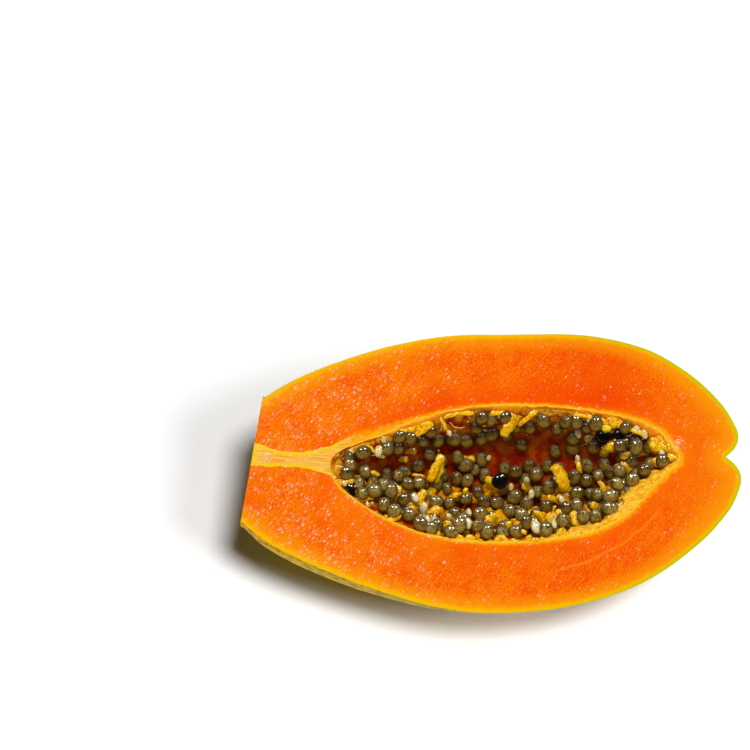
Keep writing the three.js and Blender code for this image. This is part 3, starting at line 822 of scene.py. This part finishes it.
BED_UP_TO = 2  # and how far past the cavity's axis, in y
THREADS = 40


def make_pulp_lumps(material):
    sweeps = Sweeps()
    t = np.linspace(0, 1, STRAND_STEPS)
    swelling = (0.8 + 0.3 * t) * rounded_ends(t, 0.16)
    tops = np.array([top for top, _ in PULP_LUMPS], float)
    for top, root, (_, radius) in zip(tops, at_share(tops, 1.0), PULP_LUMPS):
        sweeps.add(strand_path(root, top), radius * swelling, 20, 0.4, 3.2, 0.8)
    for start, end, radius in PULP_RIBBONS:
        path = strand_path(end, start)[STRAND_STEPS // 6:]
        path[:, 2] -= 1.5 * np.linspace(-1, 1, len(path)) ** 4
        sweeps.add(path, radius * rounded_ends(np.linspace(0, 1, len(path)), 0.12), 20, 0.45, 2.6, 0.7)
    return sweeps.made("pulp_lumps", material)


def make_bed(material):
    """Soft strands that lie between the seeds heaped in the front of the cavity."""
    draws = np.random.default_rng(21)
    sweeps = Sweeps()
    while len(sweeps.points) < BED_STRANDS:
        turn, dip = draws.random(), draws.uniform(0.15, 1.1)
        start = inside_wall(turn, dip, draws.uniform(2, 7.5))
        if not (BED_ALONG[0] < start[0] < BED_ALONG[1] and axis_gap(start) < BED_UP_TO):
            continue
        heading = draws.uniform(0, 2 * math.pi)
        length, radius = draws.uniform(3, 7), draws.uniform(0.8, 1.6)
        t = np.linspace(0, 1, 14)[:, None]
        path = start + length * t * np.array([math.cos(heading), math.sin(heading), 0])
        path = path + rough(path, 5, 2, 8.0)[:, None] * np.array([0.8, 1.2, 1.4])
        path[:, 2] -= 1.2 * (2 * t[:, 0] - 1) ** 2
        path[:, 2] = np.minimum(path[:, 2], -radius - 0.6)
        sweeps.add(path, radius * rounded_ends(t[:, 0], 0.2), 12, 0.45, 2.2, 0.75)
    return sweeps.made("bed", material)


def make_rim_pulp(material):
    """Torn pulp round the inside of the rim, gathered in clumps that hang into the cavity."""
    draws = np.random.default_rng(12)
    sweeps = Sweeps()
    for _ in range(RIM_LUMPS):
        turn = draws.random()
        golden = max(golden_reach(wall_point(turn, 0.0)) - 3, 0)
        dip = math.asin((draws.uniform(0.4, 3.2) + 0.5 * golden * draws.random()) / CAVITY_DEPTH)
        start = inside_wall(turn, dip, -0.9)
        clump = rough(start, 9, 2, 3.0)
        if clump < -0.05 or (BARE_RIM[0] < start[0] < BARE_RIM[1] and start[1] > 0):
            continue
        ahead = unit(wall_point(turn + 0.004, dip) - wall_point(turn - 0.004, dip))
        inward = inside_wall(turn, dip, 1.0) - inside_wall(turn, dip, 0.0)
        length = draws.uniform(1.6, 5)
        radius = draws.uniform(0.35, 0.8) + 1.3 * max(clump, 0) * draws.random()
        slant, fall = draws.uniform(-1, 1), draws.uniform(0.3, 1.4)
        t = np.linspace(0, 1, 9)[:, None]
        path = start + ahead * slant * length * t + inward * (0.3 + 1.5 * t) * radius * 1.2
        path = path + np.array([0, 0, -1.0]) * fall * t**1.5 * length * 0.6
        path[:, 2] = np.minimum(path[:, 2], -radius * 1.1 - 0.15)
        sweeps.add(path, radius * rounded_ends(t[:, 0], 0.3), 10, 0.6, 1.6, draws.uniform(0.5, 1))
    return sweeps.made("rim_pulp", material)


def make_threads(material):
    """Thin pale threads that cross the lining and hang from the rim."""
    draws = np.random.default_rng(5)
    sweeps = Sweeps()
    for _ in range(THREADS):
        turn, dip = draws.random(), draws.uniform(0.08, 0.55)
        to_turn, to_dip = turn + draws.uniform(-0.02, 0.02), dip + draws.uniform(0.1, 0.32)
        t = np.linspace(0, 1, 12)
        inset = 1.2 + (2.2 + draws.uniform(0, 2.5)) * np.sin(math.pi * t) ** 0.8
        path = inside_wall(turn + (to_turn - turn) * t, dip + (to_dip - dip) * t, inset)
        wobble = rough(path, 3, 2, 40.0)[:, None] * np.array([1, 0.6, 0.5])
        sweeps.add(path + wobble, draws.uniform(0.16, 0.34) * rounded_ends(t, 0.15), 7)
    return sweeps.made("threads", material)


# ---- Materials ----

def rgb(red, green, blue):
    """A colour given as 8-bit sRGB values, in the linear values that a shader takes."""
    shares = np.array([red, green, blue]) / 255
    linear = np.where(shares <= 0.04045, shares / 12.92, ((shares + 0.055) / 1.055) ** 2.4)
    return (*linear.tolist(), 1)


class Look:
    """A material under construction. Most methods add a node and return what it puts out."""

    def __init__(self, name, **surface):
        self.material = bpy.data.materials.new(name)
        self.material.use_nodes = True
        self.tree = self.material.node_tree
        self.colour = None
        self.finished(**surface)

    def finished(self, **inputs):
        """The material, with these inputs of its surface and with the colour painted so far."""
        if self.colour is not None:
            inputs["Base_Color"] = self.colour
        for key, value in inputs.items():
            self.put(self.tree.nodes["Principled BSDF"].inputs[key.replace("_", " ")], value)
        return self.material

    def put(self, socket, value):
        if isinstance(value, bpy.types.NodeSocket):
            self.tree.links.new(value, socket)
        else:
            is_colour = socket.type == "RGBA" and len(value) == 3
            socket.default_value = rgb(*value) if is_colour else value

    def node(self, kind, inputs, output=0, **settings):
        made = self.tree.nodes.new("ShaderNode" + kind)
        for key, value in settings.items():
            setattr(made, key, value)
        for key, value in inputs.items():
            self.put(made.inputs[key], value)
        return made.outputs[output]

    def value(self, name, output="Fac"):
        return self.node("Attribute", {}, output, attribute_name=name)

    @cached_property
    def place(self):
        return self.value("place", "Vector")

    @cached_property
    def x(self):
        return self.part(self.place, "X")

    def part(self, vector, axis):
        return self.node("SeparateXYZ", {"Vector": vector}, "XYZ".index(axis))

    def grain(self, sizes, turn=0.0, vector=None):
        """The place, or another vector, in a grain of these sizes, which is turned about Z."""
        inputs = {"Vector": vector or self.place, "Scale": sizes, "Rotation": (0, 0, turn)}
        return self.node("Mapping", inputs, vector_type="TEXTURE")

    def noise(self, size, detail=3.0, roughness=0.5, distortion=0.0, vector=None):
        inputs = {"Scale": 1 / size, "Detail": detail, "Roughness": roughness, "Distortion": distortion}
        return self.node("TexNoise", {"Vector": vector or self.place, **inputs})

    def cells(self, vector, output):
        return self.node("TexVoronoi", {"Vector": vector, "Scale": 1}, output)

    def distance(self, point):
        return self.node("VectorMath", {0: self.place, 1: point}, 1, operation="DISTANCE")

    def maths(self, operation, a, b=0.0):
        return self.node("Math", {0: a, 1: b}, operation=operation)

    def size_of(self, value):
        return self.maths("ABSOLUTE", value)

    def plus(self, a, b):
        return self.maths("ADD", a, b)

    def times(self, first, *others):
        for other in others:
            first = self.maths("MULTIPLY", first, other)
        return first

    def either(self, a, b):
        return self.maths("MAXIMUM", a, b)

    def step(self, value, low, high):
        """A smooth step from 0 at low to 1 at high, which may be the lower of the two."""
        inputs = {"Value": value, "From Min": low, "From Max": high}
        return self.node("MapRange", inputs, interpolation_type="SMOOTHSTEP")

    def span(self, value, low, high, to_low, to_high):
        inputs = {"Value": value, "From Min": low, "From Max": high, "To Min": to_low, "To Max": to_high}
        return self.node("MapRange", inputs)

    def waver(self, size, detail, swing):
        """Soft noise, most of it between -swing and swing."""
        return self.span(self.noise(size, detail), 0.3, 0.7, -swing, swing)

    def patches(self, low, high, *noise, **settings):
        """Noise in a smooth step from 0 at low to 1 at high."""
        return self.step(self.noise(*noise, **settings), low, high)

    def blend(self, share, a, b):
        return self.node("Mix", {0: share, 6: a, 7: b}, 2, data_type="RGBA")

    def paint(self, colour, *shares):
        """Lays a colour over what is painted so far, as thickly as the product of the shares."""
        self.colour = self.blend(self.times(*shares), self.colour, colour)

    def bump(self, height, distance_mm, strength=1.0, normal=None):
        inputs = {"Height": height, "Distance": distance_mm / 1000, "Strength": strength}
        if normal is not None:
            inputs["Normal"] = normal
        return self.node("Bump", inputs)


DASH_TURN = math.radians(52)
CORE_TURN = math.radians(-4)
RED_AT = (152, 36, 0)
SCUFF_AT = (182.6, 8.4, 0)
SCUFF_TURN = math.radians(-28)
GLINT_DASHES = [  # painted glints: length, width, how many of the cells have one, colour, strength
    (1.9, 0.7, 0.75, (255, 210, 150), 0.65),
    (2.5, 0.65, 0.34, (255, 242, 226), 1.0),
]


def paint_flesh(look, wall_gap):
    """Orange that turns redder towards the blossom end, in soft patches, short fibres and fine grain."""
    patches = look.patches(0.36, 0.66, 24, 3, 0.55)
    over_cavity = look.times(look.step(wall_gap, 14, 3), look.step(look.value("upper_streak"), -6, 2))
    redder = look.plus(look.times(look.step(look.x, 10, 170), 0.5), look.times(over_cavity, 0.5))
    share = look.plus(look.times(patches, 0.5), redder)
    look.colour = look.blend(share, (255, 124, 6), (250, 78, 0))
    blotches = look.times(look.patches(0.5, 0.66, 6, 3, 0.6), look.step(wall_gap, 4, 14))
    look.paint((246, 66, 0), blotches, 0.4)
    fibres = look.noise(1, 4, 0.6, 0.6, look.grain((5, 0.8, 3), DASH_TURN))
    grainy = look.noise(0.8, 2, 0.7)
    some = look.times(look.span(wall_gap, 3, 13, 0.25, 1), 0.45)  # less of both round the cavity
    look.paint((255, 152, 12), look.step(fibres, 0.5, 0.7), some)
    look.paint((244, 60, 0), look.step(fibres, 0.48, 0.3), some)
    look.paint((255, 158, 18), look.step(grainy, 0.5, 0.64), some)
    look.paint((246, 60, 0), look.step(grainy, 0.48, 0.34), some)
    look.paint((243, 62, 0), look.step(look.distance(RED_AT), 26, 5), 0.45)
    look.paint((255, 146, 8), look.step(look.x, 174, 198), 0.35)
    return over_cavity, fibres, grainy


def paint_under_skin(look, skin_gap):
    """Yellower towards the skin, with a thin yellow layer under it."""
    ragged = look.plus(skin_gap, look.waver(3, 2, 0.5))
    look.paint((255, 164, 10), look.step(ragged, look.span(look.x, 150, 200, 10, 14), 1.5), 0.7)
    look.paint((254, 184, 4), look.step(ragged, 3.2, 0.7))
    outermost = look.blend(look.step(look.x, 110, 170), (244, 196, 2), (206, 198, 0))
    thickness = look.span(look.x, 110, 190, 1.1, 2.4)
    look.colour = look.blend(look.step(skin_gap, thickness, 0.3), look.colour, outermost)


def paint_cavity_edge(look, wall_gap, over_cavity):
    """Yellow band round the cavity, wider at the stem end."""
    torn = look.plus(look.value("rim_share"), look.waver(2.2, 3, 0.3))
    look.paint((254, 134, 6), look.step(torn, 3.2, 0.6), look.span(over_cavity, 0, 1, 0.35, 0.1))
    look.paint((253, 182, 14), look.step(torn, 1.4, 0.2), 0.85)
    look.paint((255, 200, 44), look.step(wall_gap, 0.7, 0.2))


def paint_core(look, waver):
    """Fibrous core between the stem and the cavity: two yellow streaks with paler flesh between."""
    upper = look.plus(look.value("upper_streak"), waver)
    lower = look.plus(look.value("lower_streak"), waver)
    depth_squared = look.maths("POWER", look.size_of(look.part(look.place, "Z")), 2)
    rounded = look.step(look.plus(depth_squared, look.times(upper, lower, 2.2)), 12, 4)
    before_cavity = look.times(look.step(look.x, 47, 40), rounded)
    between = look.times(look.step(upper, 0.9, -0.6), look.step(lower, -0.9, 0.6))
    threads = look.noise(1, 4, 0.6, 0.4, look.grain((9, 0.7, 2), CORE_TURN))
    pale = look.blend(look.step(threads, 0.36, 0.64), (252, 160, 40), (252, 204, 92))
    look.colour = look.blend(look.times(between, before_cavity), look.colour, pale)
    streaks = look.either(look.step(look.size_of(upper), 1.7, 0.4), look.step(look.size_of(lower), 1.3, 0.3))
    at_stem = look.times(between, look.step(look.x, 9, 3.5))
    look.paint((250, 204, 22), look.times(look.either(streaks, at_stem), before_cavity))


def paint_marks(look, waver):
    """A faint paler line where two carpels meet, and a pale scuff beyond the cavity's blossom end."""
    arc = look.step(look.size_of(look.plus(look.value("faint_arc"), waver)), 1.1, 0.2)
    ends = look.times(look.step(look.x, 122, 134), look.step(look.x, 178, 168))
    look.paint((255, 158, 40), look.times(arc, ends), 0.35)
    scuffed = look.patches(0.5, 0.58, 1, 3, 0.6, vector=look.grain((2.4, 0.8, 1), SCUFF_TURN))
    look.paint((255, 208, 150), scuffed, look.step(look.distance(SCUFF_AT), 4.2, 1), 0.85)


def paint_glints(look, skin_gap):
    """Painted glints of wet cells: short pale dashes painted into the colour, thick at the stem end and thin
    elsewhere, a few white.
    """
    shift = look.node("TexNoise", {"Vector": look.place, "Scale": 0.5}, "Color")
    bent = look.node("VectorMath", {0: look.place, 1: shift})
    clustered = look.patches(0.36, 0.62, 5, 3, vector=look.grain((2, 1, 1), DASH_TURN))
    away = look.times(look.step(skin_gap, 0.8, 3), look.span(look.x, 40, 120, 1, 0.6))
    lit = 0.0
    for length, width, rate, colour, strength in GLINT_DASHES:
        dashes = look.grain((length, width, 2), DASH_TURN, bent)
        draws = look.cells(dashes, "Color")
        thinning = look.span(look.x, 30, 100, rate, 0.22 * rate)
        chance = look.times(thinning, look.span(clustered, 0, 1, 0.1, 1.4))
        shown = look.maths("LESS_THAN", look.part(draws, "X"), chance)
        brightness = look.span(look.part(draws, "Y"), 0, 1, 0.3 * strength, strength)
        dash = look.times(look.step(look.cells(dashes, "Distance"), 0.42, 0.1), shown, away, brightness)
        # Each dash is a painted highlight.
        look.paint(colour, dash)
        lit = look.either(dash, lit)
    return lit


def flesh_material():
    look = Look("flesh", Roughness=0.4, Specular_IOR_Level=0.03)
    skin_gap = look.value("skin_gap")
    wall_gap = look.value("wall_gap")
    over_cavity, fibres, grainy = paint_flesh(look, wall_gap)
    paint_under_skin(look, skin_gap)
    paint_cavity_edge(look, wall_gap, over_cavity)
    waver = look.waver(7, 2, 0.5)
    paint_core(look, waver)
    paint_marks(look, waver)
    lit = paint_glints(look, skin_gap)
    relief = look.bump(look.plus(look.times(fibres, 0.5), look.times(grainy, 0.35)), 0.5, 0.5)
    return look.finished(Normal=look.bump(look.times(lit, 0.6), 0.35, 0.7, relief))


SPECKLES = [(4.6, 0.24, 0.8), (2.3, 0.26, 0.5)]  # size of a cell, radius in it, how many cells have one


def paint_speckles(look):
    """Dark speckles, in two sizes and gathered in places."""
    gathered = look.patches(0.3, 0.62, 26)
    speckled = 0.0
    for size, reach, rate in SPECKLES:
        grain = look.grain((1.35 * size, size, size))
        distance = look.plus(look.cells(grain, "Distance"), look.waver(0.8, 2, 0.05))
        draws = look.cells(grain, "Color")
        radius = look.span(look.part(draws, "Y"), 0, 1, 0.35 * reach, reach)
        spot = look.step(look.maths("SUBTRACT", distance, radius), 0.06, -0.02)
        chance = look.plus(look.times(gathered, rate), 0.12)
        shown = look.maths("LESS_THAN", look.part(draws, "X"), chance)
        spot = look.times(spot, shown, look.span(look.part(draws, "Z"), 0, 1, 0.35, 0.9))
        speckled = look.either(spot, speckled)
    look.paint((82, 88, 14), speckled)
    return speckled


def skin_material():
    look = Look("skin", Roughness=0.38, Specular_IOR_Level=0.04)

    # Ripe yellow, greener in clouds and towards the stem end
    clouds = look.noise(22, 4, 0.6, vector=look.grain((2.6, 1, 1)))
    greener = look.plus(clouds, look.span(look.x, 0, 210, 0.06, -0.05))
    look.colour = look.blend(look.patches(0.35, 0.65, 30, 2), (234, 182, 2), (222, 152, 4))
    look.paint((190, 172, 10), look.step(greener, 0.46, 0.64))
    look.paint((126, 138, 16), look.step(greener, 0.57, 0.74))
    look.paint((206, 176, 10), look.patches(0.45, 0.75, 2.4, 4, 0.7), 0.3)

    # Rubbed, greyish streaks along the fruit, most of them below the cut near the stem end, where they also
    # darken the low front of the skin as painted shade
    under_cut = look.step(look.part(look.place, "Z"), -17, -9)
    low_side = look.step(look.part(look.place, "Y"), -8, -16)
    near_cut = look.times(under_cut, look.step(look.x, 118, 84), low_side)
    rubbed = look.noise(1.6, 4, 0.65, vector=look.grain((9, 1.2, 1.2)))
    where = look.either(look.patches(0.52, 0.66, 34, 2), near_cut)
    look.paint((130, 110, 36), look.step(rubbed, 0.48, 0.6), where, 0.75)
    # Dark worn specks below the cut, partly painted shade on the low front of the skin.
    worn_and_shade = look.patches(0.58, 0.66, 1.4, 3, 0.6, vector=look.grain((3, 1, 1)))
    look.paint((74, 56, 12), worn_and_shade, near_cut, 0.8)

    speckled = paint_speckles(look)
    corky = look.patches(0.66, 0.74, 6, 5, 0.7, 0.5)
    scar = look.times(corky, look.patches(0.5, 0.6, 18, 1))
    look.paint((150, 112, 70), scar, 0.8)

    height = look.maths("SUBTRACT", look.times(look.noise(1.3), 0.5), look.times(speckled, 0.3))
    roughness = look.span(look.either(scar, look.times(rubbed, 0.8)), 0, 1, 0.32, 0.6)
    return look.finished(Roughness=roughness, Normal=look.bump(look.plus(height, scar), 0.3, 0.5))


def paint_pulp(look):
    """Golden and fibrous under the rim, then amber that darkens into the cavity."""
    fibres = look.noise(0.9, 4, 0.6, 0.5, look.grain((2.6, 1, 1.2), math.radians(20)))
    golden = look.blend(look.step(fibres, 0.36, 0.6), (246, 148, 4), (255, 204, 52))
    flecks = look.patches(0.62, 0.7, 0.9, 2, vector=look.grain((2, 1, 1), 0.6))
    golden = look.blend(look.times(flecks, 0.6), golden, (255, 236, 170))
    amber = look.blend(look.patches(0.4, 0.62, 5, 4), (176, 46, 0), (250, 150, 10))
    below = look.plus(look.value("below_golden"), look.waver(2.4, 4, 2.0))
    look.colour = look.blend(look.step(below, -0.6, 1.8), golden, amber)
    return fibres


def wall_material():
    look = Look("cavity_wall", Roughness=0.3, Specular_IOR_Level=0.1)
    fibres = paint_pulp(look)
    # Painted warm bounce light: the wall's upper side, which lies in shade, is painted more orange.
    look.paint((255, 136, 0), look.value("shaded"), 0.8)
    return look.finished(Normal=look.bump(fibres, 0.6, 0.5))


def lining_material():
    look = Look("lining", Roughness=0.3, Specular_IOR_Level=0.06)
    fibres = paint_pulp(look)
    look.paint((142, 18, 0), look.step(look.value("below_golden"), 4, 15), 0.8)
    # Painted shade on the front of the lining, where the seeds are heaped.
    look.paint((112, 30, 0), look.value("heap"), 0.8)
    soft = look.blend(look.step(fibres, 0.35, 0.66), (226, 116, 0), (252, 190, 14))
    look.colour = look.blend(look.step(look.value("raised"), 0.12, 0.4), look.colour, soft)
    height = look.plus(look.noise(2.6), look.times(fibres, 0.3))
    return look.finished(Normal=look.bump(height, 0.9, 0.8))


def strand_material(name, pale, deep, roughness):
    look = Look(name, Specular_IOR_Level=0.14, Roughness=roughness)
    fibres = look.noise(1.5, 2, 0.5, 0.6)
    look.colour = look.blend(look.step(fibres, 0.3, 0.6), deep, pale)
    return look.finished(Normal=look.bump(fibres, 0.35, 0.5))


def seed_material(name, dark, light, rim, shade, amber):
    """A seed in its wet gel, with painted light and shade: lighter on top, painted shade low down, on its far
    side and on seeds behind or deep in the cavity, and painted warm bounce light in front. tone sets each
    seed apart.
    """
    look = Look(name, Roughness=0.35, Specular_IOR_Level=0.03, Coat_Weight=0.55, Coat_Roughness=0.045)
    tone, back, up = look.value("tone"), look.value("back"), look.value("up")
    cloudy = look.noise(1.5, 3, 0.6, 0.8)
    share = look.plus(look.times(tone, 0.6), look.span(cloudy, 0.35, 0.65, -0.6, 0.6))
    # Painted light: lighter where the seed faces up.
    share = look.plus(share, look.span(up, 0.55, 1, -0.1, 0.4))
    look.colour = look.blend(look.step(share, 0, 1), dark, light)
    look.paint(rim, look.step(tone, 0.3, 0.08), 0.6)
    look.paint(rim, look.patches(0.49, 0.58, 1.1, 3, 0.65, 1.0), 0.75)
    # Painted shade on seeds under the back rim and deep in the cavity, partly the amber gel over them.
    behind = look.step(look.part(look.place, "Y"), 2, 11)
    sunken = look.times(look.step(look.part(look.place, "Z"), -9, -16), 0.7)
    look.paint(rim, look.either(behind, sunken), 0.6)
    # Painted shade on the far side.
    look.paint(shade, look.step(back, 0.2, 0.8), 0.4)
    uneven = look.waver(2.4, 2, 0.2)
    # Painted warm bounce light on the near side.
    look.paint(amber, look.step(look.plus(back, uneven), 0.1, -0.8), 0.5)
    # Painted shade at the edges and low down.
    look.paint(rim, look.step(look.plus(up, uneven), 0.6, 0.1), 0.85)
    gel = look.bump(look.noise(1.4, 2), 0.25, 0.5)
    return look.finished(Normal=look.bump(cloudy, 0.25, 0.5), Coat_Normal=gel)


# ---- Seeds of each kind ----

BLACK_SEEDS = [  # middle, radii, turn
    ((108.3, -4, -11), (4.0, 3.5, 3.2), (0.2, 0.4, 0.5)),
    ((152, 13.2, -6.8), (3.6, 3.3, 3.1), (0.5, 0.1, 1.2)),
    ((45.4, -8.8, -1.8), (3.0, 1.6, 1.6), (0, 0.2, -1.2)),
    ((159, 14, -5.5), (3.0, 2.6, 2.4), (0.1, 0.5, 0.4)),
]
PALE_SEEDS = [  # middle of each larger unripe one, and its size against PALE_RADII
    ((45.5, 7.5, -2), 0.85), ((57, 8, -3.2), 1.35), ((59, 13.2, -2.4), 1.0), ((72, -11, -9), 1.25),
    ((75.5, -16, -7), 1.3), ((77, -21.5, -5), 1.0), ((80, -22, -5.5), 1.0), ((94.5, -17.5, -10.5), 0.9),
    ((94, -23.5, -4), 1.15), ((113, -5.5, -17), 0.8), ((108.5, 22.5, -3), 0.85), ((104, 8, -19.5), 0.7),
    ((121.5, -9, -15.5), 1.0), ((122, -25.5, -3.2), 1.6), ((129.5, -24.5, -3), 1.1), ((134, -12.5, -12), 1.0),
    ((142, 16, -10.5), 1.1), ((142, 6.5, -17.5), 0.8), ((166, 15, -2.6), 1.2), ((169, 13, -2.4), 1.1),
    ((52, -15, -1.6), 0.6), ((42.5, -6, -1.6), 0.7), ((87, 15.6, -4.2), 0.8), ((141.5, 21.8, -2.8), 0.7),
    ((146, 20, -3), 0.65), ((176, 4.5, -2.4), 0.9),
]
SEED_LUMPS = (0.05, 1.1)  # share of the radius, and size against it
PALE_RADII = (1.35, 2.1, 1.25)
PALE_SEED_CLEARANCE = 1.5
SMALL_PALE_RADII = (0.6, 0.5, 1.1)
SMALL_PALE_SEEDS = 60
SEED_COLOURS = {  # dark and light of its body, rim (its dark tone, also its painted edge shade), painted shade on its far side and painted warm bounce light on its near side
    "grey_seed": [(90, 68, 18), (164, 142, 76), (66, 42, 6), (150, 134, 90), (178, 132, 36)],
    "black_seed": [(5, 5, 6), (14, 14, 15), (4, 3, 3), (8, 8, 8), (20, 15, 10)],
    "pale_seed": [(222, 196, 128), (246, 236, 196), (214, 180, 96), (236, 224, 180), (232, 206, 140)],
}


def things_to_show():
    """Middle and radius of each thing that the thrown seeds are kept clear of."""
    things = [(at, max(radii)) for at, radii, _ in BLACK_SEEDS]
    things += [(at, PALE_SEED_CLEARANCE) for at, _ in PALE_SEEDS]
    things += PULP_LUMPS
    for root, end, radius, _ in STRANDS:
        root, end = np.array(root), np.array(end)
        things += [(end + (root - end) * share, radius) for share in (0.05, 0.3, 0.55)]
    return [(np.array(at), radius) for at, radius in things]


def make_seeds():
    grey, black, pale = (seed_material(name, *colours) for name, colours in SEED_COLOURS.items())
    draws = np.random.default_rng(3)
    grains = {False: Grains(4), True: Grains(4)}
    middles, turns, sizes, on_top = zip(*seed_places())
    middles = settled(np.array(middles), on_top, things_to_show())
    for at, turn, size, top in zip(middles, turns, sizes, on_top):
        grains[top].add(at, np.array(SEED_RADII) * size, turn, *SEED_LUMPS, tone=draws.random())

    dark = Grains(4)
    for at, radii, angles in BLACK_SEEDS:
        dark.add(at, np.array(radii), turned(*angles), *SEED_LUMPS, tone=draws.random())

    light = Grains(3)
    for root, end, _, tipped in STRANDS:
        if tipped:
            path = strand_path(root, end)
            turn = np.array(Vector(path[-1] - path[-2]).to_track_quat("Z", "Y").to_matrix())
            light.add(end, np.array(PALE_SEED_RADII), turn, 0.06, 1.2, tone=draws.random())
    for at, size in PALE_SEEDS:
        turn = turned(*draws.uniform(-0.5, 0.5, 3))
        light.add(at, np.array(PALE_RADII) * size, turn, 0.07, 1.2, tone=draws.random())
    for _ in range(SMALL_PALE_SEEDS):
        turn, dip = draws.random(), draws.uniform(0.1, 0.8)
        radii = np.array(SMALL_PALE_RADII) * draws.uniform(0.5, 1.2)
        at = inside_wall(turn, dip, draws.uniform(2.6, 5))
        light.add(at, radii, turned(*draws.uniform(0, 6, 3)), 0.08, 1.2, tone=draws.random())
    return [
        grains[False].made("seeds_deep", grey),
        grains[True].made("seeds_on_top", grey),
        dark.made("seeds_black", black),
        light.made("seeds_pale", pale),
    ]


# ---- Stage ----

CAMERA_AT = (-0.03742, -0.33236, 0.71723)
CAMERA_RIGHT = (0.99958, -0.00735, -0.02811)
CAMERA_UP = (0.02039, 0.86676, 0.49831)
CAMERA_LENS = 85
CAMERA_SENSOR = 36
FLOOR_SIZE = 12
FLOOR_DROP = 0.0002  # keeps the floor clear of the flat spot
WINDOWS = [(-34, 33), (-33, 42), (-31, 51), (36, 33), (33, 42), (29, 51)]  # azimuth and elevation
LIGHTS = [  # name, azimuth from straight behind, elevation, apparent size, strength, what it lights
    ("key", 0, 79, 26, 2.0, "subject"),
    ("fill", 180, 70, 165, 1.15, "subject"),
    *[("window", azimuth, elevation, 9, 2.4, "gloss") for azimuth, elevation in WINDOWS],
    ("floor_light_high", 120, 72, 16, 4.3, "floor"),
    ("floor_light_low", 120, 48, 16, 1.9, "floor"),
]
SKY_STRENGTH = 0.02
WALL_TOP = (0.06, 0.14)  # share of the way up from the horizon over which the white wall all round fades out


def make_floor():
    mesh = bpy.data.meshes.new("floor")
    corners = [(-1, -1, 0), (1, -1, 0), (1, 1, 0), (-1, 1, 0)]
    mesh.from_pydata((np.array(corners) * FLOOR_SIZE / 2).tolist(), [], [range(4)])
    look = Look("white_floor", Base_Color=(0.6, 0.6, 0.6, 1), Roughness=0.9, Specular_IOR_Level=0.1)
    mesh.materials.append(look.material)
    floor = bpy.data.objects.new("floor", mesh)
    floor.location.z = -FLOOR_DROP
    bpy.context.scene.collection.objects.link(floor)
    return floor


def make_lights(floor, wet):
    """Soft suns, apart for the floor and for the subject, and windows that only glint on what is wet."""
    only_floor = bpy.data.collections.new("only_floor")
    only_floor.objects.link(floor)
    not_floor = bpy.data.collections.new("not_floor")
    not_floor.objects.link(floor)
    not_floor.collection_objects[0].light_linking.link_state = "EXCLUDE"
    receivers = {"floor": only_floor, "subject": not_floor, "gloss": wet}
    for name, azimuth, elevation, size, strength, lit in LIGHTS:
        light = bpy.data.lights.new(name, "SUN")
        light.angle = math.radians(size)
        light.energy = strength
        sun = bpy.data.objects.new(name, light)
        a, e = math.radians(azimuth), math.radians(elevation)
        toward = Vector((math.sin(a) * math.cos(e), math.cos(a) * math.cos(e), math.sin(e)))
        sun.rotation_euler = toward.to_track_quat("Z", "Y").to_euler()
        sun.visible_diffuse = lit != "gloss"
        sun.visible_glossy = lit == "gloss"
        sun.light_linking.receiver_collection = receivers[lit]
        if lit == "gloss":
            sun.light_linking.blocker_collection = only_floor
        bpy.context.scene.collection.objects.link(sun)


def make_world():
    """A faint even sky above a low white wall all round."""
    world = bpy.data.worlds.new("studio")
    world.use_nodes = True
    nodes, links = world.node_tree.nodes, world.node_tree.links
    height = nodes.new("ShaderNodeSeparateXYZ")
    links.new(nodes.new("ShaderNodeTexCoord").outputs["Generated"], height.inputs[0])
    fade = nodes.new("ShaderNodeMapRange")
    links.new(height.outputs["Z"], fade.inputs["Value"])
    for socket, value in zip(fade.inputs[1:5], (*WALL_TOP, 1, SKY_STRENGTH)):
        socket.default_value = value
    nodes["Background"].inputs["Color"].default_value = (1, 1, 1, 1)
    links.new(fade.outputs[0], nodes["Background"].inputs["Strength"])
    bpy.context.scene.world = world
    bpy.context.scene.view_settings.view_transform = "Standard"


def make_camera():
    camera = bpy.data.objects.new("camera", bpy.data.cameras.new("camera"))
    camera.data.lens = CAMERA_LENS
    camera.data.sensor_width = CAMERA_SENSOR
    right, up = Vector(CAMERA_RIGHT), Vector(CAMERA_UP)
    turn = Matrix((right, up, right.cross(up))).transposed()
    camera.matrix_world = Matrix.Translation(CAMERA_AT) @ turn.to_4x4()
    bpy.context.scene.collection.objects.link(camera)
    bpy.context.scene.camera = camera


# ---- The whole scene ----

wet = bpy.data.collections.new("wet")  # what the windows glint on
make_lights(make_floor(), wet)
make_world()
make_camera()
fruit = make_fruit([skin_material(), flesh_material(), wall_material()])
yellow = strand_material("strand", (255, 212, 18), (240, 158, 0), 0.2)
gold = strand_material("rim_pulp", (252, 200, 18), (232, 142, 0), 0.22)
thread = strand_material("thread", (250, 226, 150), (236, 190, 80), 0.3)
lining = make_lining(lining_material())
seeds = make_seeds()
pulp = [make_strands(yellow)]
pulp += [make(gold) for make in (make_pulp_lumps, make_bed, make_rim_pulp)]
pulp += [make_threads(thread)]

for made in [*seeds, *pulp]:
    wet.objects.link(made)
for made in [fruit, *pulp]:
    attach(made, "root")
for made in [lining, *seeds]:
    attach(made, "root")
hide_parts("fruit_half")
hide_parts("seeds")
